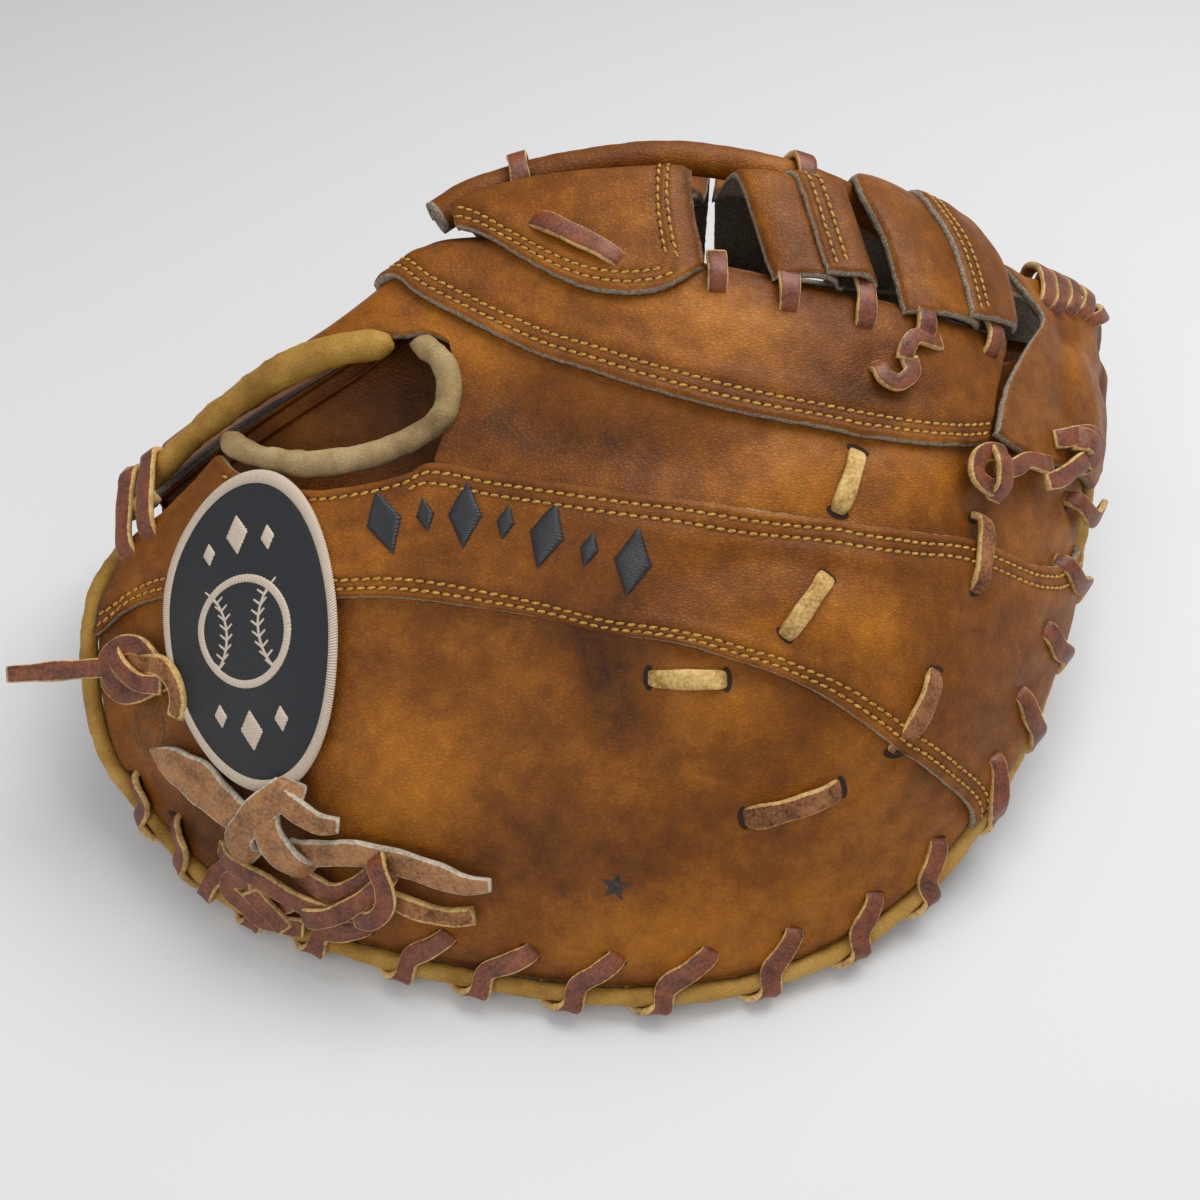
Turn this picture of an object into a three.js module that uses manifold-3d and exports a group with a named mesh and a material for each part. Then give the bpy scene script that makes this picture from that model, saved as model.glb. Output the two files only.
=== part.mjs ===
import * as THREE from "three";
import Module from "manifold-3d";

// First baseman mitt lying closed on its thumb side. Millimetres, +Z up, tip toward +X,
// the laced little-finger edge toward -Y. The origin is on the floor under the thumb panel.

// Overall sizes
const mittLength = 300;
const mittDepth = 220;
const mittHeight = 135;
const backBulge = 22;

// Leather, padding and the small clearances between pieces
const leatherThickness = 2.2;
const layerGap = 0.7;
const palmThickness = 4.6;
const handSpace = 17;
const edgeRise = 5.2;

// Edge trim
const weltRadius = 2.5;
const weltSink = 1.5;
const trimGap = 0.6;
const bindingRadius = 3.3;
const rollRadius = 3.2;
const spineRadius = 6;

// Laces, tie and label
const laceWidth = 6;
const laceThickness = 1.6;
const laceGap = 0.6;
const tieWidth = 9;
const tieThickness = 1.8;
const labelWidth = 47;
const labelThickness = 1.3;

// Level of the outer face of a piece above the skin: first layer, second layer, third layer
const layerStep = leatherThickness + layerGap;
const firstLayer = 0;
const secondLayer = layerStep;
const thirdLayer = 2 * layerStep;

const table = (columns, ...rows) =>
  rows.map((row) => Object.fromEntries(columns.map((name, index) => [name, row[index]])));

// The outer skin, one section across the mitt per row. "along" is a share of mittLength, the Y
// columns are shares of mittDepth, the Z columns shares of mittHeight, "bulge" of backBulge.
// edge: lacing of the finger side. ridge: top of the finger back. rim: top of the web.
// far: back wall of the thumb side. thumb: lacing of the thumb side, close to the floor.
const sections = table(
  ["along", "edgeY", "edgeZ", "ridgeY", "ridgeZ", "bulge", "rimY", "rimZ", "farY", "farZ", "thumbY"],
  [-0.487, -0.064, 0.281, 0.077, 0.444, 0.18, 0.123, 0.385, 0.191, 0.237, 0.000],
  [-0.467, -0.150, 0.207, 0.091, 0.481, 0.27, 0.141, 0.415, 0.236, 0.252, -0.010],
  [-0.433, -0.211, 0.126, 0.109, 0.526, 0.41, 0.164, 0.444, 0.282, 0.281, -0.090],
  [-0.350, -0.322, 0.059, 0.132, 0.667, 0.68, 0.186, 0.578, 0.345, 0.341, -0.218],
  [-0.250, -0.390, 0.048, 0.164, 0.812, 0.86, 0.227, 0.704, 0.409, 0.415, -0.290],
  [-0.117, -0.441, 0.048, 0.255, 0.896, 0.95, 0.355, 0.904, 0.491, 0.489, -0.343],
  [0.033, -0.466, 0.048, 0.209, 0.919, 1.00, 0.391, 0.985, 0.527, 0.519, -0.366],
  [0.167, -0.434, 0.048, 0.195, 0.896, 0.95, 0.391, 0.956, 0.532, 0.489, -0.341],
  [0.283, -0.346, 0.081, 0.200, 0.822, 0.82, 0.391, 0.828, 0.523, 0.459, -0.236],
  [0.367, -0.216, 0.156, 0.241, 0.711, 0.59, 0.386, 0.722, 0.509, 0.430, -0.090],
  [0.433, -0.043, 0.237, 0.300, 0.622, 0.41, 0.409, 0.622, 0.495, 0.400, 0.073],
  [0.490, 0.196, 0.333, 0.373, 0.526, 0.23, 0.432, 0.531, 0.486, 0.378, 0.282],
  [0.517, 0.382, 0.430, 0.409, 0.456, 0.09, 0.423, 0.459, 0.464, 0.363, 0.340],
);

// How the finger back swells between its lacing and its ridge
const swelling = table(["chord", "bulge"], [0.13, 0.44], [0.32, 0.93], [0.56, 1.0], [0.80, 0.60]);

// Steps around a section: 0 finger lacing, 5 ridge, 6 rim, 8 far wall, 10 to 12 floor, 13 thumb
// lacing
const lastStep = 13;

function sectionPoints(row) {
  const edge = new THREE.Vector2(row.edgeY * mittDepth, row.edgeZ * mittHeight);
  const ridge = new THREE.Vector2(row.ridgeY * mittDepth, row.ridgeZ * mittHeight);
  const rim = new THREE.Vector2(row.rimY * mittDepth, row.rimZ * mittHeight);
  const far = new THREE.Vector2(row.farY * mittDepth, row.farZ * mittHeight);
  const thumbY = row.thumbY * mittDepth;
  const chord = ridge.clone().sub(edge);
  const up = new THREE.Vector2(-chord.y, chord.x).normalize();
  const back = swelling.map((step) =>
    edge.clone().addScaledVector(chord, step.chord).addScaledVector(up, step.bulge * row.bulge * backBulge));
  const wall = far.clone().sub(rim);
  const wallMiddle = rim.clone().addScaledVector(wall, 0.5);
  wallMiddle.add(new THREE.Vector2(-wall.y, wall.x).multiplyScalar(0.16));
  const floorStart = far.x - 0.08 * mittDepth;
  const floorEnd = thumbY + Math.min(0.055 * mittDepth, 0.3 * (floorStart - thumbY));
  return [
    edge, ...back, ridge, rim, wallMiddle, far,
    new THREE.Vector2(far.x - 0.014 * mittDepth, 0.3 * far.y),
    new THREE.Vector2(floorStart, 0),
    new THREE.Vector2(0.55 * floorStart + 0.45 * thumbY, 0),
    new THREE.Vector2(floorEnd, 0),
    new THREE.Vector2(thumbY, edgeRise),
  ];
}

const stations = sections.map((row) => row.along * mittLength);
const sectionTable = sections.map(sectionPoints);

function slopeAt(step, index) {
  const before = Math.max(index - 1, 0);
  const after = Math.min(index + 1, stations.length - 1);
  const rise = sectionTable[after][step].clone().sub(sectionTable[before][step]);
  return rise.divideScalar(stations[after] - stations[before]);
}

// Point of one lengthwise line of the skin
function lengthwise(step, x) {
  let index = 0;
  while (index < stations.length - 2 && x > stations[index + 1]) index += 1;
  const span = stations[index + 1] - stations[index];
  const t = THREE.MathUtils.clamp((x - stations[index]) / span, 0, 1);
  const point = new THREE.Vector2();
  point.addScaledVector(sectionTable[index][step], 2 * t ** 3 - 3 * t ** 2 + 1);
  point.addScaledVector(slopeAt(step, index), (t ** 3 - 2 * t ** 2 + t) * span);
  point.addScaledVector(sectionTable[index + 1][step], -2 * t ** 3 + 3 * t ** 2);
  point.addScaledVector(slopeAt(step, index + 1), (t ** 3 - t ** 2) * span);
  return point;
}

// Point of the skin before its dents, at a share of the length and a step around the section
function smoothPoint(along, around) {
  const x = along * mittLength;
  const step = THREE.MathUtils.clamp(Math.floor(around), 0, lastStep - 1);
  const t = THREE.MathUtils.clamp(around, 0, lastStep) - step;
  const p1 = lengthwise(step, x);
  const p2 = lengthwise(step + 1, x);
  const p0 = step > 0 ? lengthwise(step - 1, x) : p1.clone().multiplyScalar(2).sub(p2);
  const p3 = step < lastStep - 1 ? lengthwise(step + 2, x) : p2.clone().multiplyScalar(2).sub(p1);
  const blend = (a, b, c, d) =>
    0.5 * (2 * b + (c - a) * t + (2 * a - 5 * b + 4 * c - d) * t ** 2 + (3 * b - a - 3 * c + d) * t ** 3);
  return new THREE.Vector3(x, blend(p0.x, p1.x, p2.x, p3.x), Math.max(blend(p0.y, p1.y, p2.y, p3.y), 0));
}

// Normal of a surface given as a function of the share of the length and the step around; past the
// heel and the tip it is the normal at the last section
const firstAlong = sections[0].along;
const lastAlong = sections[sections.length - 1].along;
const smallAlong = 0.002;
const smallAround = 0.03;

function aroundDirection(surface, along, around) {
  const after = surface(along, Math.min(around + smallAround, lastStep));
  return after.sub(surface(along, Math.max(around - smallAround, 0))).normalize();
}

function normalOf(surface, along, around) {
  const near = THREE.MathUtils.clamp(along, firstAlong, lastAlong);
  const ahead = surface(Math.min(near + smallAlong, lastAlong), around)
    .sub(surface(Math.max(near - smallAlong, firstAlong), around));
  return ahead.cross(aroundDirection(surface, near, around)).normalize();
}

// Hollows (minus) and swells that use has left in the back: place, half length and half width as
// shares of mittLength, turn from the length in degrees, height as a share of backBulge
const dents = table(
  ["along", "around", "halfLength", "halfWidth", "turn", "height"],
  [0.012, 2.38, 0.073, 0.030, -52, -0.19],
  [0.085, 2.42, 0.060, 0.040, -30, 0.10],
  [0.030, 3.76, 0.113, 0.033, -4, -0.12],
  [0.140, 3.60, 0.053, 0.030, 20, 0.09],
  [-0.105, 4.25, 0.060, 0.030, -25, 0.08],
  [-0.065, 3.95, 0.053, 0.027, -35, -0.08],
  [0.100, 3.12, 0.067, 0.027, 18, -0.10],
  [0.205, 2.75, 0.073, 0.030, -20, 0.08],
  [0.240, 4.10, 0.067, 0.033, 5, -0.06],
  [0.090, 4.60, 0.087, 0.030, 0, 0.06],
  [-0.150, 1.85, 0.100, 0.060, -70, 0.06],
  [-0.400, 2.40, 0.060, 0.040, 60, -0.07],
  [0.455, 4.20, 0.040, 0.023, 40, 0.08],
);

const dentFrames = dents.map((dent) => {
  const centre = smoothPoint(dent.along, dent.around);
  const lengthwise = smoothPoint(dent.along + 0.004, dent.around)
    .sub(smoothPoint(dent.along - 0.004, dent.around)).normalize();
  const up = normalOf(smoothPoint, dent.along, dent.around);
  return { ...dent, centre, lengthwise, up, crosswise: up.clone().cross(lengthwise) };
});

const lastDentedStep = 7;
const dentReach = 0.067;

// Height of the dents at a point of the skin
function dentHeight(point) {
  let height = 0;
  for (const dent of dentFrames) {
    const offset = point.clone().sub(dent.centre).divideScalar(mittLength);
    const turn = THREE.MathUtils.degToRad(dent.turn);
    const a = offset.dot(dent.lengthwise);
    const b = offset.dot(dent.crosswise);
    const far = [
      (a * Math.cos(turn) + b * Math.sin(turn)) / dent.halfLength,
      (b * Math.cos(turn) - a * Math.sin(turn)) / dent.halfWidth,
      offset.dot(dent.up) / dentReach,
    ];
    height += dent.height * backBulge * Math.exp(-(far[0] ** 2) - far[1] ** 2 - far[2] ** 2);
  }
  return height;
}

// Point of the dented skin
function skinPoint(along, around) {
  const point = smoothPoint(along, around);
  if (around > lastDentedStep) return point;
  return point.addScaledVector(normalOf(smoothPoint, along, around), dentHeight(point));
}

const skinNormal = (along, around) => normalOf(skinPoint, along, around);

// Point above (or below) the skin
const lifted = (along, around, lift) =>
  skinPoint(along, around).addScaledVector(skinNormal(along, around), lift);

// Direction of the lacing line (step 0 or lastStep) and the direction into the leather square to it
function lacingFrame(along, edgeStep) {
  const ahead = skinPoint(Math.min(along + 2 * smallAlong, lastAlong), edgeStep);
  const tangent = ahead.sub(skinPoint(along - 2 * smallAlong, edgeStep)).normalize();
  const inward = skinPoint(along, Math.abs(edgeStep - 0.25)).sub(skinPoint(along, edgeStep));
  const stepLength = inward.addScaledVector(tangent, -inward.dot(tangent)).length() * 4;
  inward.normalize();
  const outward = tangent.clone().cross(inward);
  if (outward.dot(skinNormal(along, Math.abs(edgeStep - 0.05))) < 0) outward.negate();
  return { tangent, inward, outward, stepLength };
}

// Step around the section that lies a distance in from the finger or the thumb lacing
const fingerInset = (along, distance) =>
  Math.min(distance / lacingFrame(along, 0).stepLength, 1.2);
const thumbInset = (along, distance) =>
  lastStep - Math.min(distance / lacingFrame(along, lastStep).stepLength, 1.2);

// Closed body between an outer and an inner grid of points; cells for which "open" holds are left out
function shell(outer, inner, open = () => false) {
  const rows = outer.length;
  const columns = outer[0].length;
  const vertices = [];
  for (const grid of [outer, inner]) {
    for (const row of grid) {
      for (const point of row) vertices.push(point.x, point.y, point.z);
    }
  }
  const id = (side, i, j) => side * rows * columns + i * columns + j;
  const filled = (i, j) => i >= 0 && j >= 0 && i < rows - 1 && j < columns - 1 && !open(i, j);
  const faces = [];
  const quad = (a, b, c, d) => faces.push(a, b, c, a, c, d);
  for (let i = 0; i < rows - 1; i += 1) {
    for (let j = 0; j < columns - 1; j += 1) {
      if (!filled(i, j)) continue;
      quad(id(0, i, j), id(0, i + 1, j), id(0, i + 1, j + 1), id(0, i, j + 1));
      quad(id(1, i, j), id(1, i, j + 1), id(1, i + 1, j + 1), id(1, i + 1, j));
      if (!filled(i - 1, j)) quad(id(0, i, j), id(0, i, j + 1), id(1, i, j + 1), id(1, i, j));
      if (!filled(i + 1, j)) quad(id(0, i + 1, j + 1), id(0, i + 1, j), id(1, i + 1, j), id(1, i + 1, j + 1));
      if (!filled(i, j - 1)) quad(id(0, i + 1, j), id(0, i, j), id(1, i, j), id(1, i + 1, j));
      if (!filled(i, j + 1)) quad(id(0, i, j + 1), id(0, i + 1, j + 1), id(1, i + 1, j + 1), id(1, i, j + 1));
    }
  }
  return facingOut(indexed(vertices, faces));
}

function indexed(vertices, faces) {
  const geometry = new THREE.BufferGeometry();
  geometry.setAttribute("position", new THREE.Float32BufferAttribute(vertices, 3));
  geometry.setIndex(faces);
  return geometry;
}

function signedVolume(geometry) {
  const position = geometry.getAttribute("position");
  const corner = (k) => new THREE.Vector3().fromBufferAttribute(position, geometry.index.getX(k));
  let volume = 0;
  for (let k = 0; k < geometry.index.count; k += 3) {
    volume += corner(k).dot(corner(k + 1).cross(corner(k + 2))) / 6;
  }
  return volume;
}

function facingOut(geometry) {
  if (signedVolume(geometry) < 0) {
    const faces = Array.from(geometry.index.array);
    for (let k = 0; k < faces.length; k += 3) [faces[k + 1], faces[k + 2]] = [faces[k + 2], faces[k + 1]];
    geometry.setIndex(faces);
  }
  return geometry;
}

// Curve through rows of a table, read at even shares of its length
function curveThrough(rows) {
  const points = rows.map((row) => new THREE.Vector3(row.along * 10, row.around, row.lift ?? 0));
  if (points.length === 2) return new THREE.LineCurve3(points[0], points[1]);
  return new THREE.CatmullRomCurve3(points, false, "centripetal");
}

const placeOn = (curve, share) => {
  const point = curve.getPointAt(THREE.MathUtils.clamp(share, 0, 1));
  return { along: point.x / 10, around: point.y, lift: point.z };
};

const evenly = (from, to, count) =>
  Array.from({ length: count }, (_, k) => THREE.MathUtils.lerp(from, to, k / (count - 1)));

const between = (a, b, share) => ({
  along: THREE.MathUtils.lerp(a.along, b.along, share),
  around: THREE.MathUtils.lerp(a.around, b.around, share),
});

// Piece of leather lying on the skin inside four boundary lines (Coons patch)
function panel({ low, high, start, end, cells, level, thickness = leatherThickness }) {
  const lowCurve = curveThrough(low);
  const highCurve = curveThrough(high);
  const startCurve = curveThrough(start ?? [low[0], high[0]]);
  const endCurve = curveThrough(end ?? [low[low.length - 1], high[high.length - 1]]);
  const corners = [placeOn(lowCurve, 0), placeOn(lowCurve, 1), placeOn(highCurve, 0), placeOn(highCurve, 1)];
  const outer = [];
  const inner = [];
  for (let i = 0; i <= cells[0]; i += 1) {
    const u = i / cells[0];
    outer.push([]);
    inner.push([]);
    for (let j = 0; j <= cells[1]; j += 1) {
      const v = j / cells[1];
      const across = between(placeOn(lowCurve, u), placeOn(highCurve, u), v);
      const lengthways = between(placeOn(startCurve, v), placeOn(endCurve, v), u);
      const flat = between(between(corners[0], corners[1], u), between(corners[2], corners[3], u), v);
      const along = across.along + lengthways.along - flat.along;
      const around = across.around + lengthways.around - flat.around;
      const lift = typeof level === "function" ? level(u, v, around) : level;
      outer[i].push(lifted(along, around, lift));
      inner[i].push(lifted(along, around, lift - thickness));
    }
  }
  return shell(outer, inner);
}

// Round trim along points
function tube(points, radius, steps, sides) {
  const path = new THREE.CatmullRomCurve3(points, false, "centripetal");
  const corners = [];
  for (let k = 0; k < sides; k += 1) {
    const angle = (2 * Math.PI * k) / sides;
    corners.push(new THREE.Vector2(radius * Math.cos(angle), radius * Math.sin(angle)));
  }
  const settings = { steps, extrudePath: path, bevelEnabled: false };
  return new THREE.ExtrudeGeometry(new THREE.Shape(corners), settings);
}

// Flat strip along points; each point has the normal of the strip's face
function strip(places, width, thickness) {
  const outer = [];
  const inner = [];
  places.forEach((place, index) => {
    const before = places[Math.max(index - 1, 0)].point;
    const after = places[Math.min(index + 1, places.length - 1)].point;
    const side = after.clone().sub(before).cross(place.normal).normalize().multiplyScalar(width / 2);
    const up = place.normal.clone().multiplyScalar(thickness / 2);
    const corner = (sideSign, upSign) =>
      place.point.clone().addScaledVector(side, sideSign).addScaledVector(up, upSign);
    outer.push([corner(-1, 1), corner(1, 1)]);
    inner.push([corner(-1, -1), corner(1, -1)]);
  });
  return shell(outer, inner);
}

// Places of a strip that lies over the skin; the lift of a row is the level of its underside
function skinPlaces(rows, cells, thickness) {
  const curve = curveThrough(rows);
  return evenly(0, 1, cells + 1).map((share) => {
    const place = placeOn(curve, share);
    const normal = skinNormal(place.along, place.around);
    return { point: lifted(place.along, place.around, place.lift + thickness / 2), normal };
  });
}

const skinStrip = (rows, cells, width, thickness) =>
  strip(skinPlaces(rows, cells, thickness), width, thickness);

const wasm = await Module();
wasm.setup();

function toManifold(geometry) {
  const position = geometry.getAttribute("position");
  const mesh = new wasm.Mesh({
    numProp: 3,
    vertProperties: new Float32Array(position.array),
    triVerts: new Uint32Array(geometry.index.array),
  });
  return new wasm.Manifold(mesh);
}

// Crossing strips of one knot joined into one body
function joined(geometries) {
  const bodies = geometries.map(toManifold);
  const mesh = bodies.reduce((sum, body) => sum.add(body)).getMesh();
  return indexed(Array.from(mesh.vertProperties), Array.from(mesh.triVerts));
}

// Materials
const material = (name, color, roughness) => new THREE.MeshStandardMaterial({ name, color, roughness });
const leatherTan = material("leather_tan", "#b8772f", 0.55);
const leatherPalm = material("leather_palm", "#a9682a", 0.6);
const weltYellow = material("welt_mustard", "#b98d3a", 0.6);
const bindingSuede = material("binding_suede", "#a8926a", 0.85);
const laceBrown = material("lace_brown", "#7a3f22", 0.65);
const laceCream = material("lace_cream", "#b59350", 0.8);
const tieLeather = material("tie_leather", "#a66a38", 0.75);
const labelThread = material("label_thread", "#16181d", 0.8);

const mitt = new THREE.Group();
mitt.name = "first_baseman_mitt";

function add(name, geometry, surface) {
  const mesh = new THREE.Mesh(geometry, surface);
  mesh.name = name;
  mitt.add(mesh);
}

const place = ["along", "around"];
const shifted = (rows, steps) => rows.map((row) => ({ ...row, around: row.around + steps }));

// Rows moved a distance over the skin, toward the far side of the mitt
const movedOver = (rows, distance) => rows.map((row) => {
  const stepLength = 4 * skinPoint(row.along, row.around + 0.25).distanceTo(skinPoint(row.along, row.around));
  return { ...row, around: row.around + distance / stepLength };
});

// Seam lines of the finger back, from the heel toward the tip
const strapLowerSeam = table(place,
  [-0.460, 2.50], [-0.423, 3.05], [-0.377, 3.22], [-0.220, 2.98], [-0.117, 2.78], [-0.020, 2.75],
  [0.080, 2.68], [0.183, 2.39], [0.263, 1.79], [0.303, 1.26], [0.323, 0.81],
  [0.334, fingerInset(0.334, weltRadius + trimGap)]);
const strapUpperSeam = table(place,
  [-0.150, 3.58], [-0.090, 3.48], [0.027, 3.48], [0.103, 3.45], [0.207, 3.36], [0.317, 3.13],
  [0.400, 2.35], [0.455, 1.34]);
const webPanelSeam = table(place,
  [-0.183, 5.18], [-0.160, 4.77], [-0.113, 4.42], [-0.060, 4.24], [0.000, 4.18], [0.127, 4.00],
  [0.223, 3.92], [0.293, 3.85], [0.340, 3.83]);
const holeLowerLip = table(place,
  [-0.333, 4.50], [-0.317, 4.31], [-0.277, 4.03], [-0.243, 3.88], [-0.187, 3.75], [-0.157, 3.73]);
const holeEnd = table(place,
  [-0.137, 3.81], [-0.130, 3.95], [-0.133, 4.13], [-0.150, 4.30], [-0.165, 4.38]);
const holeUpperLip = table(place,
  [-0.180, 4.48], [-0.195, 4.56], [-0.235, 4.74], [-0.285, 4.88], [-0.340, 4.92], [-0.385, 4.82],
  [-0.412, 4.68]);
const seamOverlap = 0.16;
const trimInset = weltRadius + trimGap;
const besideFingerWelt = (along) => ({ along, around: fingerInset(along, trimInset) });

// Back panel over the little finger: lowest panel, laced along the near edge
add("back_pinky_panel", panel({
  low: [-0.440, -0.40, -0.33, -0.25, -0.15, 0, 0.1, 0.2, 0.27, 0.31, 0.335].map(besideFingerWelt),
  high: shifted(strapLowerSeam, seamOverlap),
  start: [besideFingerWelt(-0.440), ...table(place, [-0.452, 0.8], [-0.459, 1.5], [-0.460, 2.66])],
  end: [besideFingerWelt(0.335), { along: 0.334, around: 0.51 }],
  cells: [22, 6], level: firstLayer,
}), leatherTan);

// Long strap panel across the back, lying over the panels on both sides of it
const strapUpperEdge = [
  ...table(place, [-0.424, 3.9], [-0.392, 4.04], [-0.356, 4.22]),
  ...shifted(holeLowerLip, -0.17), ...strapUpperSeam,
];
add("back_strap_panel", panel({
  low: strapLowerSeam,
  high: strapUpperEdge,
  start: table(place, [-0.460, 2.50], [-0.450, 3.2], [-0.424, 3.9]),
  end: [...[0.334, 0.36, 0.39, 0.42, 0.44].map(besideFingerWelt), { along: 0.455, around: 1.34 }],
  cells: [26, 5], level: secondLayer,
}), leatherTan);

// Panel over the index finger: around the end of the hand hole and over its top
const indexLowerEdge = [
  ...shifted(strapUpperSeam, -seamOverlap).reverse(),
  ...table(place, [-0.124, 3.68], [-0.1165, 3.95], [-0.121, 4.25], [-0.148, 4.48]),
  ...movedOver(holeUpperLip, rollRadius + 2 * trimGap), { along: -0.422, around: 5.06 },
];
const indexUpperEdge = [
  { along: 0.470, around: 2.3 }, { along: 0.430, around: 3.25 },
  ...shifted(webPanelSeam, seamOverlap).reverse(),
  ...table(place, [-0.215, 5.75], [-0.290, 6.0], [-0.370, 6.0], [-0.437, 5.97]),
];
add("back_index_panel", panel({
  low: indexLowerEdge, high: indexUpperEdge, cells: [28, 5], level: firstLayer,
}), leatherTan);

// Panel along the web side of the finger back
add("back_web_panel", panel({
  low: [{ along: -0.200, around: 5.46 }, ...webPanelSeam],
  high: table(place, [-0.200, 5.62], [-0.150, 5.36], [-0.120, 5.20], [-0.080, 5.14], [0, 5.10],
    [0.097, 5.08], [0.177, 5.03], [0.263, 5.02], [0.340, 5.02], [0.375, 5.0]),
  cells: [20, 4], level: secondLayer,
}), leatherTan);

// Leather cap folded over the finger tip
add("tip_cap", panel({
  low: table(place, [0.342, 3.87], [0.385, 3.55], [0.427, 3.12], [0.455, 2.5], [0.478, 1.5], [0.500, 0.9],
    [0.515, 1.0]),
  high: table(place, [0.373, 5.75], [0.410, 5.86], [0.440, 5.98], [0.470, 6.02], [0.493, 6.02], [0.515, 5.9]),
  start: table(place, [0.342, 3.87], [0.360, 4.36], [0.390, 4.82], [0.412, 5.15], [0.396, 5.5],
    [0.373, 5.75]),
  cells: [8, 8],
  level: (u) => THREE.MathUtils.lerp(thirdLayer, secondLayer, Math.min(1, u / 0.25)),
}), leatherTan);

const lacingInset = weltRadius + 2 * laceGap + laceThickness + 2.2;

// Room for the hand between back and palm, as a share of handSpace at each step around the section
const handRoom = [0, 0.4, 0.95, 1, 0.9, 0.5, 0.21, 0.25, 0.45, 0.28, 0.5, 0.9, 0.7, 0];
const roomAlong = table(["along", "share"],
  [-0.487, 0.75], [-0.433, 0.85], [-0.25, 1], [0.28, 1], [0.43, 0.5], [0.523, 0.1]);

function shareAt(rows, along) {
  const next = rows.findIndex((row) => row.along >= along);
  if (next <= 0) return next === 0 ? rows[0].share : rows[rows.length - 1].share;
  const t = (along - rows[next - 1].along) / (rows[next].along - rows[next - 1].along);
  return THREE.MathUtils.lerp(rows[next - 1].share, rows[next].share, t);
}

function roomAt(along, around) {
  const step = Math.min(Math.floor(around), lastStep - 1);
  const room = THREE.MathUtils.lerp(handRoom[step], handRoom[step + 1], around - step);
  return leatherThickness + 2 * layerGap + handSpace * room * shareAt(roomAlong, along);
}

// Padded palm: one C-shaped body, open toward the web between the finger and the thumb half
const palmCells = [17, 24];
const palmStart = -0.435;
const palmEnd = 0.472;
const webOpening = { along: -0.17, from: 4.95, to: 8.0 };
const palmOuter = [];
const palmInner = [];
const palmPlaces = [];
for (let i = 0; i <= palmCells[0]; i += 1) {
  const along = THREE.MathUtils.lerp(palmStart, palmEnd, i / palmCells[0]);
  const first = fingerInset(along, trimInset);
  const last = thumbInset(along, lacingInset + 1);
  palmOuter.push([]);
  palmInner.push([]);
  palmPlaces.push([]);
  for (let j = 0; j <= palmCells[1]; j += 1) {
    const around = THREE.MathUtils.lerp(first, last, j / palmCells[1]);
    const room = roomAt(along, around);
    const padding = Math.min(1, 0.45 + 0.55 * Math.min(around - first, last - around));
    palmOuter[i].push(lifted(along, around, -room));
    palmInner[i].push(lifted(along, around, -room - palmThickness * padding));
    palmPlaces[i].push({ along, around });
  }
}
const inWebOpening = (i, j) =>
  palmPlaces[i][j].along > webOpening.along
  && palmPlaces[i][j + 1].around > webOpening.from
  && palmPlaces[i][j].around < webOpening.to;
add("palm", shell(palmOuter, palmInner, inWebOpening), leatherPalm);

// Thumb half: wall on the far side and panel on the floor
const thumbTop = table(place,
  [-0.437, 5.85], [-0.30, 5.9], [-0.19, 6.2], [-0.14, 7.4], [-0.10, 7.95], [0.033, 8.05],
  [0.20, 8.0], [0.33, 7.9], [0.385, 7.3], [0.41, 6.45], [0.45, 6.35], [0.515, 6.35]);
const thumbSeam = table(place, [-0.437, 8.9], [-0.2, 8.95], [0.1, 8.95], [0.35, 8.95], [0.515, 8.9]);
add("thumb_side_panel", panel({
  low: thumbTop, high: thumbSeam, cells: [22, 4],
  level: (u, v, around) => THREE.MathUtils.lerp(-1.28 * layerStep, secondLayer + 0.2,
    THREE.MathUtils.smoothstep(around, 6.1, 7.6)),
}), leatherTan);

const thumbStations = evenly(-0.437, 0.515, 18);
add("thumb_back_panel", panel({
  low: shifted(thumbSeam, -0.2),
  high: thumbStations.map((along) => ({ along, around: thumbInset(along, lacingInset) })),
  cells: [18, 6], level: firstLayer,
}), leatherTan);

// Web: base tab and two arched bars, each reaching from the finger side over the top to the thumb side
const underSpine = -(2 * spineRadius + layerGap - 2);
const overSpine = 2 + layerGap + leatherThickness;
const webLevel = (spineLevel) => (u, v, around) => {
  const front = THREE.MathUtils.smoothstep(around, 5.45, 5.77);
  const back = THREE.MathUtils.smoothstep(around, 6.5, 7.1);
  return thirdLayer + (spineLevel - thirdLayer) * front * (1 - back);
};
add("web_base_tab", panel({
  low: table(place, [-0.125, 5.28], [-0.070, 4.90], [-0.013, 4.73], [0.053, 4.79], [0.090, 5.02]),
  high: table(place, [-0.120, 8.35], [-0.020, 8.4], [0.080, 8.4]),
  start: table(place, [-0.125, 5.28], [-0.128, 5.7], [-0.120, 6.5], [-0.120, 8.35]),
  end: table(place, [0.090, 5.02], [0.075, 5.6], [0.083, 6.4], [0.095, 7.0], [0.080, 8.4]),
  cells: [5, 17], level: webLevel(underSpine),
}), leatherTan);
add("web_bar_heel", panel({
  low: table(place, [0.148, 4.98], [0.195, 5.03], [0.238, 5.06]),
  high: table(place, [0.125, 8.4], [0.200, 8.4]),
  start: table(place, [0.148, 4.98], [0.130, 5.45], [0.116, 5.8], [0.111, 6.4], [0.115, 7.0], [0.125, 8.4]),
  end: table(place, [0.238, 5.06], [0.222, 5.5], [0.207, 6.0], [0.200, 7.0], [0.200, 8.4]),
  cells: [3, 17], level: webLevel(underSpine),
}), leatherTan);
add("web_bar_tip", panel({
  low: table(place, [0.262, 4.90], [0.320, 4.96], [0.376, 4.98]),
  high: table(place, [0.240, 8.3], [0.345, 8.3]),
  start: table(place, [0.262, 4.90], [0.250, 5.45], [0.235, 5.8], [0.237, 6.4], [0.240, 8.3]),
  end: table(place, [0.376, 4.98], [0.376, 5.5], [0.364, 6.1], [0.350, 7.0], [0.345, 8.3]),
  cells: [3, 17], level: webLevel(overSpine),
}), leatherTan);

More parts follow.
